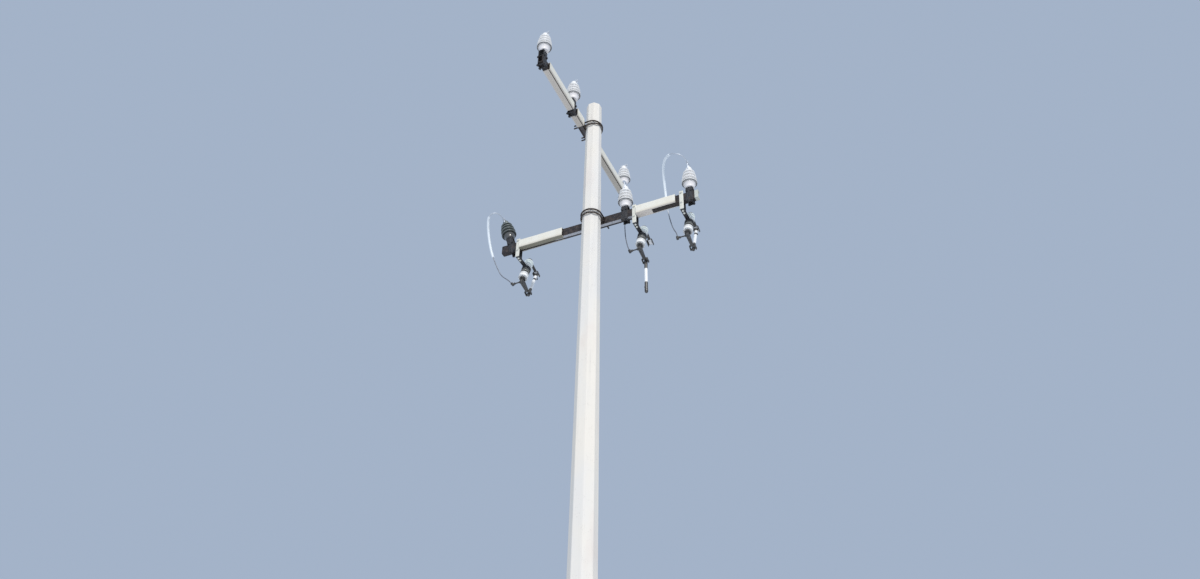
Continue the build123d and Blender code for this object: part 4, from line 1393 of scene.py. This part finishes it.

# %% [markdown]
# Coat of the sleeves
# The sleeves' cream coat is chipped, and turns tan towards the lower edge of each face, which is painted
# shade.
# Underneath it is tan or dark, partly soot and partly painted shade, with a paler painted highlight near the
# far edge. Vertex paint could place these, but the way a surface faces, its height on the sleeve and its
# place across it are enough, and the last two are marks that each sleeve carries.

# %% Sleeve coat
def cream_sleeve(p):
    """Clouds, a tan lower face that is painted shade, streaks, then the underside's tones, partly soot and
    partly painted shade, with a paler painted highlight near the far edge, and chips over all.
    """
    down = p.ramp(p.facing(2), -0.95, -0.35, 1.0, 0.0)
    # A tan band towards the lower edge of each face is painted shade.
    shaded_low_face = p.ramp(p.mark("rise"), -1.0, -0.25, 1.0, 0.0)
    # A paler band near the far edge of the underside is a painted highlight.
    painted_edge_highlight = p.ramp(p.mark("across"), 0.60, 0.80)
    clouds = p.patches(9.0, 0.38, 0.66)
    streaks = p.patches(60.0, 0.55, 0.78, 5.0, (1, 1, 0.15))
    chips = p.patches(120.0, 0.66, 0.72)
    # Underside: tan, darkened partly by soot and partly by painted shade.
    under = p.layers((0.76, 0.69, 0.63), (p.mark("soot"), (0.19, 0.175, 0.12)),
                     (painted_edge_highlight * 0.5, (0.66, 0.66, 0.68)))
    colour = p.layers((0.86, 0.84, 0.77), (clouds, (0.82, 0.79, 0.70)), (shaded_low_face * 0.55, (0.62, 0.54, 0.44)),
                      (streaks * 0.30, (0.58, 0.50, 0.41)), (down, under), (chips * 0.6, (0.24, 0.19, 0.15)))
    return p.grained(colour, clouds, (0.45, 0.65), 260.0, 0.2 * MM)


finishes["cream_sleeve"] = finish_of("cream_coat", cream_sleeve)

# %% [markdown]
# Porcelain
# Glazed porcelain is white or grey-green clay under clear glass. Rain washes it from above, so dirt gathers
# on the undersides. The dark ring under the posts' lowest shed and the black band round the cutouts' middle
# are painted shadow. One plain glossy colour would look like plastic. Here the mark named rise, the height on
# the post or body, places those painted shadows and the caps, and a coat over a rougher base gives the soft
# double highlight of a glaze.

# %% Porcelain
shed_shadow_rise = (0.054, 0.057, 0.064, 0.072)
cap_edge = (0.054, 0.056)
arm_shadow_low, arm_shadow_high = (-0.104, -0.096), (0.030, 0.045)
glaze_coat = {"Coat Weight": 0.4}


def post_glaze(light, dark, cap):
    """Glaze with dirt on the undersides, a painted shadow ring under the sheds and a cap of another tone."""
    def write(p):
        down = p.ramp(p.facing(2), -0.85, -0.10, 1.0, 0.0)
        dust = p.patches(35.0, 0.40, 0.70)
        rise = p.mark("rise")
        # Painted shadow: a near-black ring under the lowest shed, where its shade falls.
        ring = p.ramp(rise, *shed_shadow_rise[:2]) * p.ramp(rise, *shed_shadow_rise[2:], 1.0, 0.0) * down
        low_cap = p.ramp(rise, *cap_edge, 1.0, 0.0)
        colour = p.layers(light, (dust * 0.25, dark), (down * 0.30, dark), (low_cap, cap),
                          (ring * 0.9, (0.035, 0.035, 0.04)))
        return p.grained(colour, dust, (0.22, 0.5), 150.0, 0.12 * MM) | glaze_coat
    return write


def cutout_glaze(p):
    """White glaze, with a blue-green cast on the top sheds and a black painted shadow of the arm round the
    middle, shorter on the side that faces +X.
    """
    dust = p.patches(45.0, 0.40, 0.70)
    rise = p.mark("rise")
    # Painted shadow: the mask grime is the arm's shade over the middle of the body, reaching less far up on
    # the side that faces +X, towards the lamp.
    edge = rise + p.ramp(p.facing(0), 0.15, 0.45) * 0.05
    grime = p.ramp(rise, *arm_shadow_low) * p.ramp(edge, *arm_shadow_high, 1.0, 0.0)
    top = p.ramp(rise, 0.02, 0.10)
    colour = p.layers((0.97, 0.97, 0.97), (top, (0.90, 0.96, 0.96)), (dust * 0.06, (0.66, 0.66, 0.64)),
                      (grime * 0.9, (0.13, 0.13, 0.115)))
    return p.grained(colour, dust, (0.2, 0.45), 150.0, 0.12 * MM) | glaze_coat


pale_tones = ((0.95, 0.95, 0.96), (0.72, 0.68, 0.63), (0.93, 0.89, 0.89))
dark_tones = ((0.15, 0.17, 0.16), (0.055, 0.06, 0.055), (0.10, 0.10, 0.10))
finishes["pale_porcelain"] = finish_of("pale_glaze", post_glaze(*pale_tones))
finishes["dark_porcelain"] = finish_of("dark_glaze", post_glaze(*dark_tones))
finishes["cutout_porcelain"] = finish_of("cutout_glaze", cutout_glaze)

# %% [markdown]
# Fibre, wire and hose
# The fuse tubes are dark fibre with pale stretches, the wires and ties bare aluminium, with painted shade low
# on the jumpers where they hang under the arm, and the hoses pale plastic. Three plain colours would do from
# far off, but grime that is drawn out along Z gives each its length, and a step on the height paints the
# shade on the wires.

# %% Fuse tube, wire and hose
wire_shade_heights = (8.42, 8.62)


def fuse_fibre(p):
    """Dark fibre, pale where the piece is marked so, with long grime."""
    grime = p.patches(60.0, 0.55, 0.78, 5.0, (1, 1, 0.3))
    colour = p.layers((0.070, 0.067, 0.065), (p.mark("pale"), (0.92, 0.93, 0.95)),
                      (grime * 0.15, (0.40, 0.39, 0.38)))
    return p.grained(colour, grime, (0.35, 0.6), 300.0, 0.15 * MM, (1, 1, 0.2))


def wire_metal(p):
    """Two greys in a fine grain, with painted shade below a given height on the jumpers."""
    # Painted shade: the jumpers turn dark below the lower arm, where they hang in its shade.
    shaded_low_part = p.ramp(p.where(2), *wire_shade_heights, 1.0, 0.0)
    grain = p.noise(500.0, 2.0, (1, 1, 0.25))
    colour = p.layers((0.70, 0.74, 0.80), (p.ramp(grain, 0.3, 0.7), (0.56, 0.60, 0.67)),
                      (shaded_low_part * 0.85, (0.12, 0.13, 0.16)))
    return p.surface(colour, p.ramp(grain, 0.3, 0.7, 0.35, 0.55), grain, 0.4 * MM) | {"Metallic": 0.5}


def pale_hose(p):
    """Bluish white with long grime."""
    grime = p.patches(70.0, 0.50, 0.78, 5.0, (1, 1, 0.2))
    colour = p.layers((0.84, 0.90, 0.97), (grime * 0.35, (0.55, 0.58, 0.62)))
    return p.grained(colour, grime, (0.4, 0.7), 300.0, 0.2 * MM, (1, 1, 0.3))


finishes["fuse_fibre"] = finish_of("fibre_tube", fuse_fibre)
finishes["wire_aluminium"] = finish_of("bare_wire", wire_metal)
hose_finish = finish_of("pale_hose", pale_hose)
for place in hose_from_x:
    own_finishes[f"jumper_{place}_hose"] = hose_finish

# %% [markdown]
# Putting the finishes on
# Each piece names the slot that its finish comes from, and a packed node's slot is in the record. Materials
# could be set one by one, but a loop over all pieces forgets none. The channels and hoses have their own.

# %% Put the finishes on
node_slot = {row["node"]: row["material_slot"] for row in frame["record"]["subparts"]}
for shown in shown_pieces():
    slot = shown.get("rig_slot") or node_slot[shown["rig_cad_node"]]
    material = own_finishes.get(shown.name) or finishes[slot]
    shown.data.materials.clear()
    shown.data.materials.append(material)

# %% [markdown]
# Light and floor
# A soft sun stands for a large studio lamp, and the world fills the shadows. A bright backdrop would light
# the object too, and wash it out. So what the camera and its reflections see is a separate colour, picked by
# the Light Path node, and everything else is lit by the fill.

# %% Floor, lamps and world
floor_half = 30.0
floor_mesh = bpy.data.meshes.new("floor")
corners = [(x * floor_half, y * floor_half, 0) for x, y in ((-1, -1), (1, -1), (1, 1), (-1, 1))]
floor_mesh.from_pydata(corners, [], [(0, 1, 2, 3)])
floor = added("floor", floor_mesh)
floor_paint = {"Base Color": (0.80, 0.82, 0.85), "Roughness": 0.9}
floor_mesh.materials.append(finish_of("pale_floor", lambda p: floor_paint))

sun_data = bpy.data.lights.new("key_lamp", "SUN")
sun_data.energy = 2.2
sun_data.angle = math.radians(8)
sun_data.color = (1.0, 0.955, 0.885)
sun = added("key_lamp", sun_data)
sun.rotation_euler = (math.radians(52), 0, math.radians(33))

fill_strength = 0.60
world = bpy.data.worlds.new("studio")
world.use_nodes = True
bpy.context.scene.world = world
sky = Paint(world.node_tree)
camera_ray, glossy_ray, through_ray = (sky.node("ShaderNodeLightPath", output=k) for k in (0, 3, 6))
fill = sky.node("ShaderNodeBackground", inputs={"Color": (0.72, 0.84, 1.0), "Strength": fill_strength})
backdrop = sky.node("ShaderNodeBackground", inputs={"Color": (0.37, 0.45, 0.58), "Strength": 1.0})
either = camera_ray.math("MAXIMUM", glossy_ray).math("MAXIMUM", through_ray)
both = sky.node("ShaderNodeMixShader", inputs={0: either, 1: fill, 2: backdrop})
sky.node("ShaderNodeOutputWorld", inputs={"Surface": both})
bpy.context.scene.view_settings.view_transform = "Standard"
print("lamp", sun_data.energy, "fill", fill_strength)

# %% [markdown]
# The visual model has to stay inside the packed model's box.
